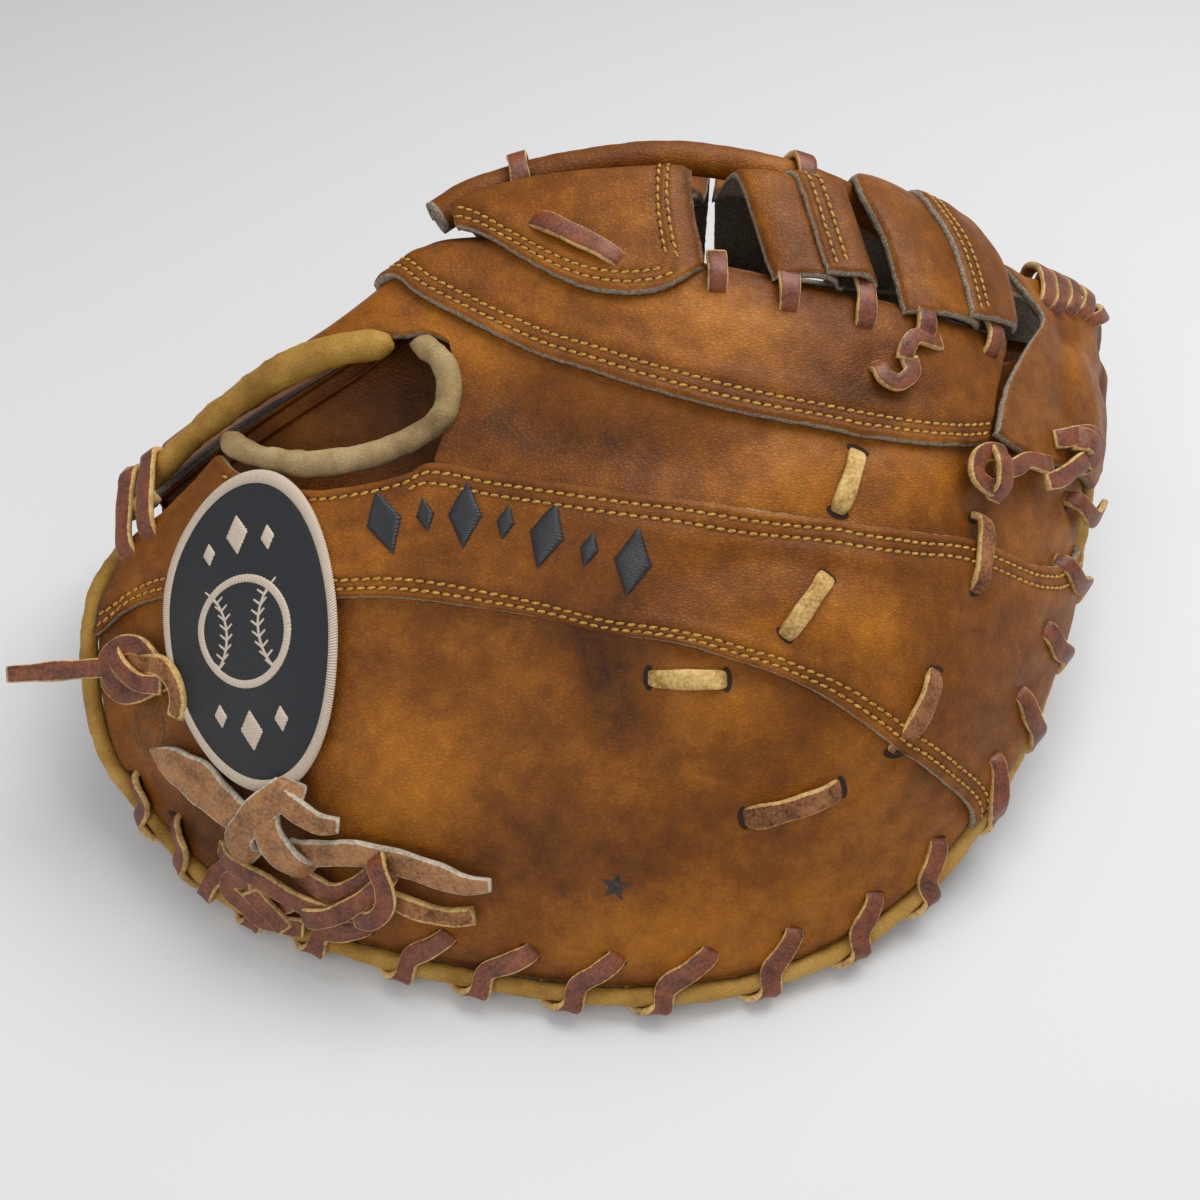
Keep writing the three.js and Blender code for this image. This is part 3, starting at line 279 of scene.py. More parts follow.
# Holes that laces pull into the leather: along, around
LACE_HOLES = [
    (-0.426, 0.60), (-0.383, 0.74), (-0.330, 0.66), (-0.268, 0.50), (-0.205, 0.40), (-0.133, 0.47),
    (-0.060, 0.45), (0.013, 0.48), (0.093, 0.50), (0.167, 0.53), (0.240, 0.51), (0.300, 0.59),
    (0.347, 0.99),
    (0.373, 1.35), (0.402, 1.60), (0.426, 1.94), (0.443, 2.42),
    (0.220, 3.85), (0.200, 3.42), (0.187, 3.07), (0.150, 2.73), (0.038, 2.52), (0.104, 2.52),
    (0.331, 3.28), (0.320, 2.72), (0.281, 2.38), (0.250, 1.84), (0.118, 1.67), (0.206, 1.75),
    (0.232, 4.46), (0.325, 3.70), (0.432, 3.72),
]
DIMPLE_RADIUS, DIMPLE_DEPTH = 4.2, 1.1


@functools.lru_cache(maxsize=None)
def place_frame(along, around):
    """Centre of a place with its two directions in the surface, for patterns given in mm."""
    centre = smooth_skin(along, around)
    lengthwise = unit(smooth_skin(along + 0.004, around) - smooth_skin(along - 0.004, around))
    normal = surface_normal(smooth_skin, along, around)
    return centre, lengthwise, np.cross(normal, lengthwise)


def swell(points, table):
    """Height in mm that a table of soft oval forms gives to points of the skin."""
    height = np.zeros(points.shape[:-1])
    for along, around, half_length, half_width, turn, rise in table:
        centre, lengthwise, crosswise = place_frame(along, around)
        offset = points - centre
        a, b = offset @ lengthwise, offset @ crosswise
        c, s = math.cos(math.radians(turn)), math.sin(math.radians(turn))
        near = np.exp(-((a * c + b * s) / half_length) ** 2 - ((b * c - a * s) / half_width) ** 2)
        height += rise * near * np.exp(-((offset @ np.cross(lengthwise, crosswise)) / 20) ** 2)
    return height


DIMPLES = [(along, around, DIMPLE_RADIUS, DIMPLE_RADIUS, 0, -DIMPLE_DEPTH) for along, around in LACE_HOLES]


def skin(along, around):
    """Point of the dented skin."""
    smooth = smooth_skin(along, around)
    normal = surface_normal(smooth_skin, along, around)
    raised = smooth + normal * swell(smooth, DENTS + DIMPLES)[..., None]
    raised[..., 2] = np.maximum(raised[..., 2], 0)
    return raised


def lifted(along, around, lift):
    """Point above or below the dented skin."""
    along, around, lift = np.broadcast_arrays(*(np.asarray(v, float) for v in (along, around, lift)))
    return skin(along, around) + surface_normal(skin, along, around) * lift[..., None]


def trace(rows, count):
    """Smooth line through chart rows, read at even shares of its length."""
    points = np.array([(row[0] * 10, row[1], row[2] if len(row) > 2 else 0) for row in rows], float)
    if len(points) == 2:
        dense = points[0] + (points[1] - points[0]) * np.linspace(0, 1, 65)[:, None]
    else:
        padded = np.vstack([2 * points[0] - points[1], points, 2 * points[-1] - points[-2]])
        dense = [points[:1]]
        for k in range(len(points) - 1):
            p0, p1, p2, p3 = padded[k:k + 4]
            d = [max(np.linalg.norm(b - a), 1e-6) ** 0.5 for a, b in ((p0, p1), (p1, p2), (p2, p3))]
            m1 = ((p1 - p0) / d[0] - (p2 - p0) / (d[0] + d[1]) + (p2 - p1) / d[1]) * d[1]
            m2 = ((p2 - p1) / d[1] - (p3 - p1) / (d[1] + d[2]) + (p3 - p2) / d[2]) * d[1]
            t = np.linspace(0, 1, 25)[1:, None]
            dense.append((2 * t**3 - 3 * t**2 + 1) * p1 + (t**3 - 2 * t**2 + t) * m1
                         + (3 * t**2 - 2 * t**3) * p2 + (t**3 - t**2) * m2)
        dense = np.vstack(dense)
    length = np.concatenate([[0], np.cumsum(np.linalg.norm(np.diff(dense, axis=0), axis=1))])
    shares = np.asarray(count) if np.ndim(count) else np.linspace(0, 1, count)
    read = np.stack([np.interp(shares * length[-1], length, dense[:, k]) for k in range(3)], axis=1)
    return read / (10, 1, 1)


def graded(cells, crowding=0.7):
    """Shares from 0 to 1 that lie closer together toward both ends."""
    t = np.linspace(0, 1, cells + 1)
    return t - crowding * np.sin(2 * np.pi * t) / (2 * np.pi)


def smoothstep(low, high, value):
    t = np.clip((value - low) / (high - low), 0, 1)
    return t * t * (3 - 2 * t)


def patch_places(low, high, start, end, along_shares, across_shares):
    """Places inside four boundary lines, blended from all four."""
    lows, highs = trace(low, along_shares)[:, None, :2], trace(high, along_shares)[:, None, :2]
    starts = trace(start or [low[0], high[0]], across_shares)[None, :, :2]
    ends = trace(end or [low[-1], high[-1]], across_shares)[None, :, :2]
    u, v = np.asarray(along_shares)[:, None, None], np.asarray(across_shares)[None, :, None]
    low_corners = (1 - u) * lows[0, 0] + u * lows[-1, 0]
    high_corners = (1 - u) * highs[0, 0] + u * highs[-1, 0]
    corners = (1 - v) * low_corners + v * high_corners
    return (1 - v) * lows + v * highs + (1 - u) * starts + u * ends - corners


def ripple(points, size, seed):
    """Even, repeatable unevenness between -1 and 1 with forms of a given size in mm."""
    rng = np.random.default_rng(seed)
    total = np.zeros(points.shape[:-1])
    for _ in range(7):
        wave = unit(rng.normal(size=3)) * (2 * np.pi / size * rng.uniform(0.6, 1.6))
        total += np.sin(points @ wave + rng.uniform(0, 6.3))
    return total / 3.2


def piece(name, vertices, faces, material, values=None):
    """Object at the origin from millimetre vertices, with named values on its points."""
    mesh = bpy.data.meshes.new(name)
    mesh.from_pydata((np.asarray(vertices) * MM).tolist(), [], [tuple(face) for face in faces])
    mesh.polygons.foreach_set("use_smooth", [True] * len(mesh.polygons))
    for key, numbers in (values or {}).items():
        mesh.attributes.new(key, "FLOAT",
                            "POINT").data.foreach_set("value", np.asarray(numbers, np.float32).ravel())
    mesh.materials.append(material)
    made = bpy.data.objects.new(name, mesh)
    bpy.context.collection.objects.link(made)
    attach(made, "root")
    return made


def quads(grid):
    """Faces of a grid of vertex numbers."""
    return np.stack([grid[:-1, :-1], grid[1:, :-1], grid[1:, 1:], grid[:-1, 1:]], axis=-1).reshape(-1, 4)


def leather_shell(outer, inner, raw_depth=0.25):
    """Closed wall between two grids of points with a softly bulging cut edge: vertices, faces and how
    raw each vertex is (0 grain side, 1 cut edge or flesh side)."""
    rows, columns = outer.shape[:2]
    number = np.arange(rows * columns).reshape(rows, columns)
    loop = np.concatenate([number[0, :-1], number[:-1, -1], number[-1, :0:-1], number[:0:-1, 0]])
    inside = np.array([min(max(i, 1), rows - 2) * columns + min(max(j, 1), columns - 2)
                       for i, j in zip(loop // columns, loop % columns)])
    flat_outer, flat_inner = outer.reshape(-1, 3), inner.reshape(-1, 3)
    out = unit(flat_outer[loop] - flat_outer[inside])
    rim = 0.5 * (flat_outer[loop] + flat_inner[loop]) + out * raw_depth
    rim += 0.18 * ripple(rim, 1.7, 5)[:, None] * out
    vertices = np.vstack([flat_outer, flat_inner, rim])
    size, base = rows * columns, 2 * rows * columns
    rim_number = base + np.arange(len(loop))
    follow = np.roll(np.arange(len(loop)), -1)
    faces = np.vstack([
        quads(number), quads(number)[:, ::-1] + size,
        np.stack([loop, loop[follow], rim_number[follow], rim_number], axis=1),
        np.stack([rim_number, rim_number[follow], loop[follow] + size, loop + size], axis=1)])
    raw = np.concatenate([np.zeros(size), np.ones(size), np.ones(len(loop))])
    raw[loop] = 0.45
    return vertices, faces, raw


def outward(vertices, faces):
    """Faces turned so that the closed shape's volume is positive."""
    triangles = np.vstack([faces[:, [0, 1, 2]], faces[:, [0, 2, 3]]])
    a, b, c = (vertices[triangles[:, k]] for k in range(3))
    return faces if np.einsum("ij,ij->i", a, np.cross(b, c)).sum() > 0 else faces[:, ::-1]


# Full-grain steer leather, drum-dyed tan and oiled: grain pores and soft wrinkles, pale rubbed streaks,
# grey-brown fibres where it is cut; the tone value on its points adds painted shade where it is pressed in
# and painted light where it stands out.
def tanned_leather(name, light, middle, dark, raw, grain=1.0, gloss=0.42):
    material, tree, shader = new_material(name)
    where = own_place(tree)
    broad = noise(tree, where, 26, 3, 0.55)
    mottle = noise(tree, where, 150, 5, 0.65)
    speck = noise(tree, where, 900, 3, 0.6)
    # The tone value carries uneven colour of the leather together with painted shade in hollows, along
    # seams and at tucked edges, and painted light on swells.
    mixed = maths(tree, "MULTIPLY_ADD", broad["Fac"], 0.55, point_value(tree, "tone"))
    mixed = maths(tree, "MULTIPLY_ADD", mottle["Fac"], 0.38, mixed)
    mixed = maths(tree, "MULTIPLY_ADD", speck["Fac"], 0.16, mixed)
    tint = ramp(tree, mixed, (0.30, dark), (0.80, light), (0.54, middle))
    # Pebbles of the grain about 0.9 mm across, a little longer one way, drawn from warped cells
    warp = add_node(tree, "ShaderNodeVectorMath", {
        0: speck["Color"], 1: (0.0005, 0.0005, 0.0005), 2: where}, operation="MULTIPLY_ADD")
    stretch = add_node(tree, "ShaderNodeMapping", {
        "Vector": warp.outputs[0], "Rotation": (0.3, 0.2, 0.6), "Scale": (0.62, 1.15, 1.0)}).outputs[0]
    cells = add_node(tree, "ShaderNodeTexVoronoi", {
        "Vector": stretch, "Scale": 1050 / grain}, feature="DISTANCE_TO_EDGE")
    pebble = spread(tree, cells.outputs["Distance"], 0.0, 0.28, interpolation_type="SMOOTHSTEP")
    wrinkle = noise(tree, stretch, 330, 4, 0.6, 0.6)
    shaded = spread(tree, pebble, 0.0, 1.0, 0.86, 1.02)
    grained = add_node(tree, "ShaderNodeVectorMath", {0: tint, "Scale": shaded},
                       operation="SCALE").outputs[0]
    # Pale rubbed streaks and scratches
    rub = add_node(tree, "ShaderNodeMapping",
                   {"Vector": where, "Rotation": (0.4, 0.1, 0.9), "Scale": (1, 9, 1)})
    rub = spread(tree, noise(tree, rub.outputs[0], 60, 8, 0.75)["Fac"], 0.60, 0.80, 0.0, 0.30)
    worn = blend(tree, rub, grained, light)
    # Cut edges and the flesh side: short grey-brown fibres
    fibre = noise(tree, where, 1500, 4, 0.7)["Fac"]
    suede = ramp(tree, fibre, (0.32, raw[1]), (0.68, raw[0]))
    cut = maths(tree, "MULTIPLY_ADD", fibre, 0.35, point_value(tree, "raw"))
    cut = spread(tree, cut, 0.50, 0.72)
    rough = spread(tree, mottle["Fac"], 0.3, 0.7, gloss + 0.10, gloss - 0.04)
    rough = maths(tree, "MULTIPLY_ADD", cut, 0.5, rough)
    relief = maths(tree, "MULTIPLY_ADD", wrinkle["Fac"], 1.6, pebble)
    relief = maths(tree, "MULTIPLY_ADD", cut, fibre, relief)
    finish(tree, shader, blend(tree, cut, worn, suede), rough, relief, 0.55, 0.00016)
    shader.inputs["Specular IOR Level"].default_value = 0.22
    return material


RAW_GREY = ("#b3a692", "#5d5040")
tan_leather = tanned_leather("full_grain_tan_leather", "#b67018", "#804707", "#452201", RAW_GREY)
FIRST, SECOND, THIRD = 0.0, 2.9, 5.8
LEATHER = 2.2


def double_row(from_share=0.01, to_share=0.985):
    """Two rows of stitches 3 mm apart: distance from the edge in mm, and the share they run over."""
    return (2.7, from_share, to_share), (5.7, from_share, to_share)


seam_lines = []


def leather_panel(name, low, high, start=None, end=None, cells=(240, 54), level=0.0, seams=None, turned=()):
    """Piece of leather lying on the skin between four boundary lines. "seams" gives, for an edge that
    rows of stitches hold down, the share of the edge that each row runs over; "turned" names the
    edges that roll under another piece or a welt."""
    u, v = graded(cells[0]), graded(cells[1])
    places = patch_places(low, high, start, end, u, v)
    along, around = places[..., 0], places[..., 1]
    base = skin(along, around)
    normal = surface_normal(skin, along, around)
    across = np.concatenate([np.zeros((len(u), 1)),
                             np.cumsum(np.linalg.norm(np.diff(base, axis=1), axis=2), axis=1)], axis=1)
    length = np.concatenate([np.zeros((1, len(v))),
                             np.cumsum(np.linalg.norm(np.diff(base, axis=0), axis=2), axis=0)])
    away = {"low": across, "high": across[:, -1:] - across, "start": length, "end": length[-1:] - length}
    lift = np.broadcast_to(level(u[:, None], v[None, :], around) if callable(level) else np.float64(level),
                           base.shape[:2]).copy()
    tone = np.zeros(base.shape[:2])
    for edge, distance in away.items():
        if edge in (seams or {}):
            share = (u[:, None] if edge in ("low", "high") else v[None, :]) + 0 * distance
            for row, from_share, to_share in seams[edge]:
                sewn = smoothstep(from_share - 0.02, from_share, share)
                sewn *= 1 - smoothstep(to_share, to_share + 0.02, share)
                lift -= 0.38 * sewn * np.exp(-((distance - row) / 0.75) ** 2)
                # Painted shade: the leather is coloured darker along each row of stitches.
                tone -= 0.10 * sewn * np.exp(-((distance - row) / 1.1) ** 2)
            lift += 0.45 * np.exp(-((distance - 9.0) / 2.8) ** 2)
        if edge in turned:
            lift -= 1.5 * np.exp(-(distance / 2.2) ** 2)
            # Painted shade: the leather is coloured darker where its edge rolls under.
            tone -= 0.12 * np.exp(-(distance / 4) ** 2)
        else:
            lift -= 0.55 * (1 - smoothstep(0, 1.1, distance))
            lift += 0.16 * ripple(base, 7, 11) * np.exp(-(distance / 2) ** 2)
    # Painted shade and light: the table above, and darker where dents sink and paler where they swell.
    tone += painted_shading_and_tone(base) + 0.030 * swell(base, DENTS)
    outer = base + normal * lift[..., None]
    inner = base + normal * (lift - LEATHER)[..., None]
    for edge, rows in (seams or {}).items():
        grids = [outer, normal, away[edge][..., None]]
        if edge in ("start", "end"):
            grids = [grid.swapaxes(0, 1) for grid in grids]
        if edge in ("high", "end"):
            grids = [grid[:, ::-1] for grid in grids]
        shares = u if edge in ("low", "high") else v
        for row, from_share, to_share in rows:
            run = [k for k in range(len(shares)) if from_share <= shares[k] <= to_share]
            line = [np.array([np.interp(row, grids[2][k, :, 0], grid[k, :, axis]) for axis in range(3)])
                    for grid in grids[:2] for k in run]
            seam_lines.append((np.array(line[:len(run)]), unit(np.array(line[len(run):]))))
    inner[..., 2] = np.maximum(inner[..., 2], 0.05)
    outer[..., 2] = np.maximum(outer[..., 2], 0.02)
    vertices, faces, raw = leather_shell(outer, inner)
    vertices[:, 2] = np.maximum(vertices[:, 2], 0.0)
    tones = np.concatenate([tone.ravel(), tone.ravel(), np.zeros(len(vertices) - 2 * tone.size)])
    return piece(name, vertices, outward(vertices, faces), tan_leather, {"raw": raw, "tone": tones})


# Darker and paler places on the leather, mostly painted shade in hollows and painted light on swells, with
# some uneven tone: along, around, half length, half width, turn, tone
PAINTED_SHADING_AND_TONE = [
    (0.010, 2.4, 22, 9, -52, -0.12), (0.03, 3.72, 40, 9, -4, -0.06), (-0.08, 4.5, 20, 10, -20, -0.04),
    (0.25, 4.3, 26, 10, 0, -0.10), (0.03, 2.75, 26, 12, 0, -0.10), (0.16, 3.55, 16, 9, 10, 0.12),
    (0.10, 2.35, 18, 14, -30, 0.10), (-0.15, 1.9, 24, 16, -70, 0.08), (-0.12, 4.3, 16, 8, -25, 0.10),
    (0.09, 4.5, 20, 9, 0, 0.08), (0.05, 0.75, 70, 9, 0, 0.10), (0.22, 1.1, 36, 9, -20, 0.08),
    (-0.42, 2.6, 16, 22, 0, 0.08), (0.2, 2.8, 16, 9, -20, 0.10), (-0.02, 1.3, 40, 12, 10, -0.10),
    (0.46, 4.4, 12, 10, 0, 0.06), (0.447, 5.0, 10, 6, 0, -0.12), (-0.33, 1.1, 26, 12, 10, -0.08),
]


def painted_shading_and_tone(points):
    return swell(points, PAINTED_SHADING_AND_TONE)


# Finger back: four panels of tan leather. The long strap and the web-side panel lie over their
# neighbours with a cut edge and two rows of stitches; the others run under them.
FINGER_EDGE = 3.1


def edge_inset(along, distance, step=0):
    """Step around the section that lies a distance in from a lacing line."""
    small, inward = 0.004, 0.25 if step == 0 else -0.25
    tangent = unit(smooth_skin(min(along + small, LAST_ALONG), step) - smooth_skin(along - small, step))
    run = smooth_skin(along, step + inward) - smooth_skin(along, step)
    size = np.linalg.norm(run - tangent * (run @ tangent)) * 4
    return min(distance / size, 1.2) if step == 0 else step - min(distance / size, 1.2)


def beside_welt(stations, distance=FINGER_EDGE):
    return [(along, edge_inset(along, distance)) for along in stations]


def moved(rows, steps):
    return [(row[0], row[1] + steps) for row in rows]


def moved_over(rows, distance):
    """Rows moved a distance in mm over the skin, toward the far side of the mitt."""
    size = [4 * np.linalg.norm(smooth_skin(a, v + 0.25) - smooth_skin(a, v)) for a, v in rows]
    return [(a, v + distance / one) for (a, v), one in zip(rows, size)]


STRAP_LOWER = [
    (-0.460, 2.50), (-0.423, 3.05), (-0.377, 3.22), (-0.220, 2.98), (-0.117, 2.78), (-0.020, 2.75),
    (0.080, 2.68), (0.183, 2.39), (0.263, 1.79), (0.303, 1.26), (0.323, 0.81), *beside_welt([0.334])]
STRAP_UPPER = [
    (-0.150, 3.58), (-0.090, 3.48), (0.027, 3.48), (0.103, 3.45), (0.207, 3.36), (0.317, 3.13),
    (0.400, 2.35), (0.455, 1.34)]
WEB_LOWER = [
    (-0.183, 5.18), (-0.160, 4.77), (-0.113, 4.42), (-0.060, 4.24), (0.000, 4.18), (0.127, 4.00),
    (0.223, 3.92), (0.293, 3.85), (0.340, 3.83)]
HOLE_LOWER = [(-0.333, 4.50), (-0.317, 4.31), (-0.277, 4.03), (-0.243, 3.88), (-0.187, 3.75),
              (-0.157, 3.73)]
HOLE_END = [(-0.137, 3.81), (-0.130, 3.95), (-0.133, 4.13), (-0.150, 4.30), (-0.165, 4.38)]
HOLE_UPPER = [(-0.180, 4.48), (-0.195, 4.56), (-0.235, 4.74), (-0.285, 4.88), (-0.340, 4.92),
              (-0.385, 4.82), (-0.412, 4.68)]
UNDERLAP = 0.16

pinky = leather_panel(
    "back_panel_little_finger",
    beside_welt([-0.440, -0.40, -0.33, -0.25, -0.15, 0, 0.1, 0.2, 0.27, 0.31, 0.335]),
    moved(STRAP_LOWER, UNDERLAP),
    start=[*beside_welt([-0.440]), (-0.452, 0.8), (-0.459, 1.5), (-0.460, 2.66)],
    end=[*beside_welt([0.335]), (0.334, 0.51)], cells=(250, 76), level=FIRST, turned=("low", "start"))
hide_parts("back_pinky_panel")

strap = leather_panel(
    "back_panel_strap", STRAP_LOWER,
    [(-0.424, 3.9), (-0.392, 4.04), (-0.356, 4.22), *moved(HOLE_LOWER, -0.17), *STRAP_UPPER],
    start=[(-0.460, 2.50), (-0.450, 3.2), (-0.424, 3.9)],
    end=[*beside_welt([0.334, 0.36, 0.39, 0.42, 0.44]), (0.455, 1.34)], cells=(280, 60), level=SECOND,
    seams={"low": double_row(), "high": ((2.7, 0.12, 0.985), (5.7, 0.30, 0.985))}, turned=("end", "start"))
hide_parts("back_strap_panel")

index_panel = leather_panel(
    "back_panel_index_finger",
    [*reversed(moved(STRAP_UPPER, -UNDERLAP)), (-0.124, 3.68), (-0.118, 3.95), (-0.122, 4.22),
     (-0.146, 4.42),
     *moved_over(HOLE_UPPER, 2.6), (-0.422, 5.03)],
    [(0.470, 2.3), (0.430, 3.25), *reversed(moved(WEB_LOWER, UNDERLAP)), (-0.215, 5.75), (-0.290, 6.0),
     (-0.370, 6.0), (-0.437, 5.97)],
    cells=(280, 56), level=FIRST)
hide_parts("back_index_panel")

web_panel = leather_panel(
    "back_panel_web_side", [(-0.200, 5.46), *WEB_LOWER],
    [(-0.200, 5.62), (-0.150, 5.36), (-0.120, 5.20), (-0.080, 5.14), (0, 5.10), (0.097, 5.08),
     (0.177, 5.03),
     (0.263, 5.02), (0.340, 5.02), (0.375, 5.0)],
    cells=(240, 44), level=SECOND, seams={"low": double_row(0.03, 0.99)}, turned=("high",))
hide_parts("back_web_panel")

# Cap of the finger tip: folded over the tip and gathered, with a cut edge along the web-side panel.
tip_cap = leather_panel(
    "finger_tip_cap",
    [(0.342, 3.87), (0.385, 3.55), (0.427, 3.12), (0.455, 2.5), (0.478, 1.5), (0.500, 0.9), (0.515, 1.0)],
    [(0.373, 5.75), (0.410, 5.86), (0.440, 5.98), (0.470, 6.02), (0.493, 6.02), (0.515, 5.9)],
    start=[(0.342, 3.87), (0.360, 4.36), (0.390, 4.82), (0.412, 5.15), (0.396, 5.5), (0.373, 5.75)],
    cells=(90, 90), level=lambda u, v, around: THIRD + (SECOND - THIRD) * np.minimum(1, u / 0.25),
    turned=("end",))
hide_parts("tip_cap")

# Stitches: waxed golden polyester thread, locked in rows 3 mm apart, a dark disc of painted shade for the
# needle hole between any two.
gold_thread, tree, shader = new_material("waxed_polyester_thread_gold")
twist = noise(tree, own_place(tree), 1600, 2)["Fac"]
finish(tree, shader, ramp(tree, twist, (0.35, "#8f6115"), (0.65, "#d2a03a")), 0.5, twist)
painted_hole_shade, tree, shader = new_material("needle_hole_shade")
shade = add_node(tree, "ShaderNodeTexNoise", {"Scale": 800})
finish(tree, shader, blend(tree, shade.outputs["Fac"], "#1d0f05", "#3a200c"), 0.9)


def stitch_tree():
    """Stitches along lines: an oval thread over the leather and, at its end, a dark disc of painted shade
    for the needle hole.
    """
    made = bpy.data.node_groups.new("lock_stitches", "GeometryNodeTree")
    made.interface.new_socket("Geometry", in_out="INPUT", socket_type="NodeSocketGeometry")
    for label in ("Pitch", "Length", "Thread", "Lean", "Hole"):
        made.interface.new_socket(label, in_out="INPUT", socket_type="NodeSocketFloat")
    made.interface.new_socket("Yarn", in_out="INPUT", socket_type="NodeSocketMaterial")
    made.interface.new_socket("Geometry", in_out="OUTPUT", socket_type="NodeSocketGeometry")
    given = made.nodes.new("NodeGroupInput").outputs
    curve = add_node(made, "GeometryNodeMeshToCurve", {0: given["Geometry"]})
    points = add_node(made, "GeometryNodeResampleCurve",
                      {"Curve": curve.outputs[0], "Length": given["Pitch"]}, mode="LENGTH")
    half = add_node(made, "ShaderNodeMath", {0: given["Length"], 1: 0.5}, operation="MULTIPLY")
    size = add_node(made, "ShaderNodeCombineXYZ",
                    {0: half.outputs[0], 1: given["Thread"], 2: given["Thread"]})
    ball = add_node(made, "GeometryNodeMeshUVSphere", {"Segments": 8, "Rings": 5, "Radius": 1.0})
    thread = add_node(made, "GeometryNodeTransform",
                      {"Geometry": ball.outputs[0], "Scale": size.outputs[0]})
    thread = add_node(made, "GeometryNodeSetMaterial",
                      {"Geometry": thread.outputs[0], "Material": given["Yarn"]})
    # The needle hole is a small dark disc: painted shade where the hole is.
    small = add_node(made, "GeometryNodeMeshUVSphere", {"Segments": 6, "Rings": 3, "Radius": 1.0})
    bore = add_node(made, "ShaderNodeMath", {0: given["Thread"], 1: given["Hole"]}, operation="MULTIPLY")
    hole_size = add_node(made, "ShaderNodeCombineXYZ",
                         {0: bore.outputs[0], 1: bore.outputs[0], 2: bore.outputs[0]})
    hole_size = add_node(made, "ShaderNodeVectorMath", {0: hole_size.outputs[0], 1: (1.0, 0.85, 0.38)},
                         operation="MULTIPLY")
    aside = add_node(made, "ShaderNodeMath", {0: given["Thread"], 1: 0.55}, operation="MULTIPLY")
    beyond = add_node(made, "ShaderNodeMath", {0: given["Pitch"], 1: 0.5}, operation="MULTIPLY")
    shift = add_node(made, "ShaderNodeCombineXYZ", {0: beyond.outputs[0], 1: aside.outputs[0]})
    hole = add_node(made, "GeometryNodeTransform",
                    {"Geometry": small.outputs[0], "Translation": shift.outputs[0],
                     "Scale": hole_size.outputs[0]})
    hole = add_node(made, "GeometryNodeSetMaterial", {"Geometry": hole.outputs[0], "Material": painted_hole_shade})
    both = made.nodes.new("GeometryNodeJoinGeometry")
    made.links.new(thread.outputs[0], both.inputs[0])
    made.links.new(hole.outputs[0], both.inputs[0])
    lie = add_node(made, "GeometryNodeInputNamedAttribute", {"Name": "lie"}, data_type="FLOAT_VECTOR")
    tangent = made.nodes.new("GeometryNodeInputTangent")
    turn = add_node(made, "FunctionNodeAlignRotationToVector", {"Vector": tangent.outputs[0]}, axis="X")
    turn = add_node(made, "FunctionNodeAlignRotationToVector",
                    {"Rotation": turn.outputs[0], "Vector": lie.outputs[0]}, axis="Z", pivot_axis="X")
    uneven = add_node(made, "FunctionNodeRandomValue", {2: -0.10, 3: 0.10, "Seed": 3}, data_type="FLOAT")
    angle = add_node(made, "ShaderNodeMath", {0: given["Lean"], 1: uneven.outputs[1]}, operation="ADD")
    euler = add_node(made, "ShaderNodeCombineXYZ", {2: angle.outputs[0]})
    lean = add_node(made, "FunctionNodeEulerToRotation", {0: euler.outputs[0]})
    turn = add_node(made, "FunctionNodeRotateRotation", {0: turn.outputs[0], 1: lean.outputs[0]},
                    rotation_space="LOCAL")
    placed = add_node(made, "GeometryNodeInstanceOnPoints",
                      {"Points": points.outputs[0], "Instance": both.outputs[0],
                       "Rotation": turn.outputs[0]})
    real = add_node(made, "GeometryNodeRealizeInstances", {0: placed.outputs[0]})
    smooth = add_node(made, "GeometryNodeSetShadeSmooth", {0: real.outputs[0]})
    out = made.nodes.new("NodeGroupOutput")
    made.links.new(smooth.outputs[0], out.inputs[0])
    return made


lock_stitches = stitch_tree()


def grown(name, vertices, edges, vectors, tree, settings):
    """Plain mesh object that a Geometry Nodes tree grows on lines."""
    mesh = bpy.data.meshes.new(name)
    mesh.from_pydata((np.asarray(vertices) * MM).tolist(), edges, [])
    mesh.attributes.new("lie", "FLOAT_VECTOR",
                        "POINT").data.foreach_set("vector", np.asarray(vectors, np.float32).ravel())
    made = bpy.data.objects.new(name, mesh)
    bpy.context.collection.objects.link(made)
    modifier = made.modifiers.new("grow", "NODES")
    modifier.node_group = tree
    for item in tree.interface.items_tree:
        if item.in_out == "INPUT" and item.name in settings:
            modifier[item.identifier] = settings[item.name]
    view = bpy.context.evaluated_depsgraph_get()
    finished = bpy.data.meshes.new_from_object(made.evaluated_get(view))
    made.modifiers.clear()
    made.data = finished
    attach(made, "root")
    return made


def sew(name, lines, pitch=2.7, length=2.5, thread=0.47, lean=0.16, hole=1.0, above=0.05, yarn=gold_thread):
    """Rows of stitches along (points, normals) lines, in millimetres."""
    vertices, edges, vectors = [], [], []
    for points, normals in lines:
        first = len(vertices)
        vertices.extend(points + normals * above)
        vectors.extend(normals)
        edges.extend((first + k, first + k + 1) for k in range(len(points) - 1))
    return grown(name, vertices, edges, vectors, lock_stitches, {
        "Pitch": pitch * MM, "Length": length * MM, "Thread": thread * MM, "Lean": lean, "Hole": hole,
        "Yarn": yarn})


# Palm: one padded body of darker leather that folds round from the finger half to the thumb half,
# open at the web. Soft felt fills it, so it is full in the middle and thin where it is laced.
palm_leather = tanned_leather("full_grain_palm_leather", "#985914", "#6d3a07", "#402002",
                              ("#a08a6c", "#5a4630"), grain=1.2, gloss=0.5)
PALM_THICKNESS, HAND_SPACE, GAP = 4.6, 17, 0.7
HAND_ROOM = (0, 0.4, 0.95, 1, 0.9, 0.5, 0.21, 0.25, 0.45, 0.28, 0.5, 0.9, 0.7, 0)
ROOM_ALONG = ((-0.487, -0.433, -0.25, 0.28, 0.43, 0.523), (0.75, 0.85, 1, 1, 0.5, 0.1))
LACING_INSET = 7.5


def hand_room(along, around):
    share = np.interp(around, range(14), HAND_ROOM) * np.interp(along, *ROOM_ALONG)
    return LEATHER + 2 * GAP + HAND_SPACE * share


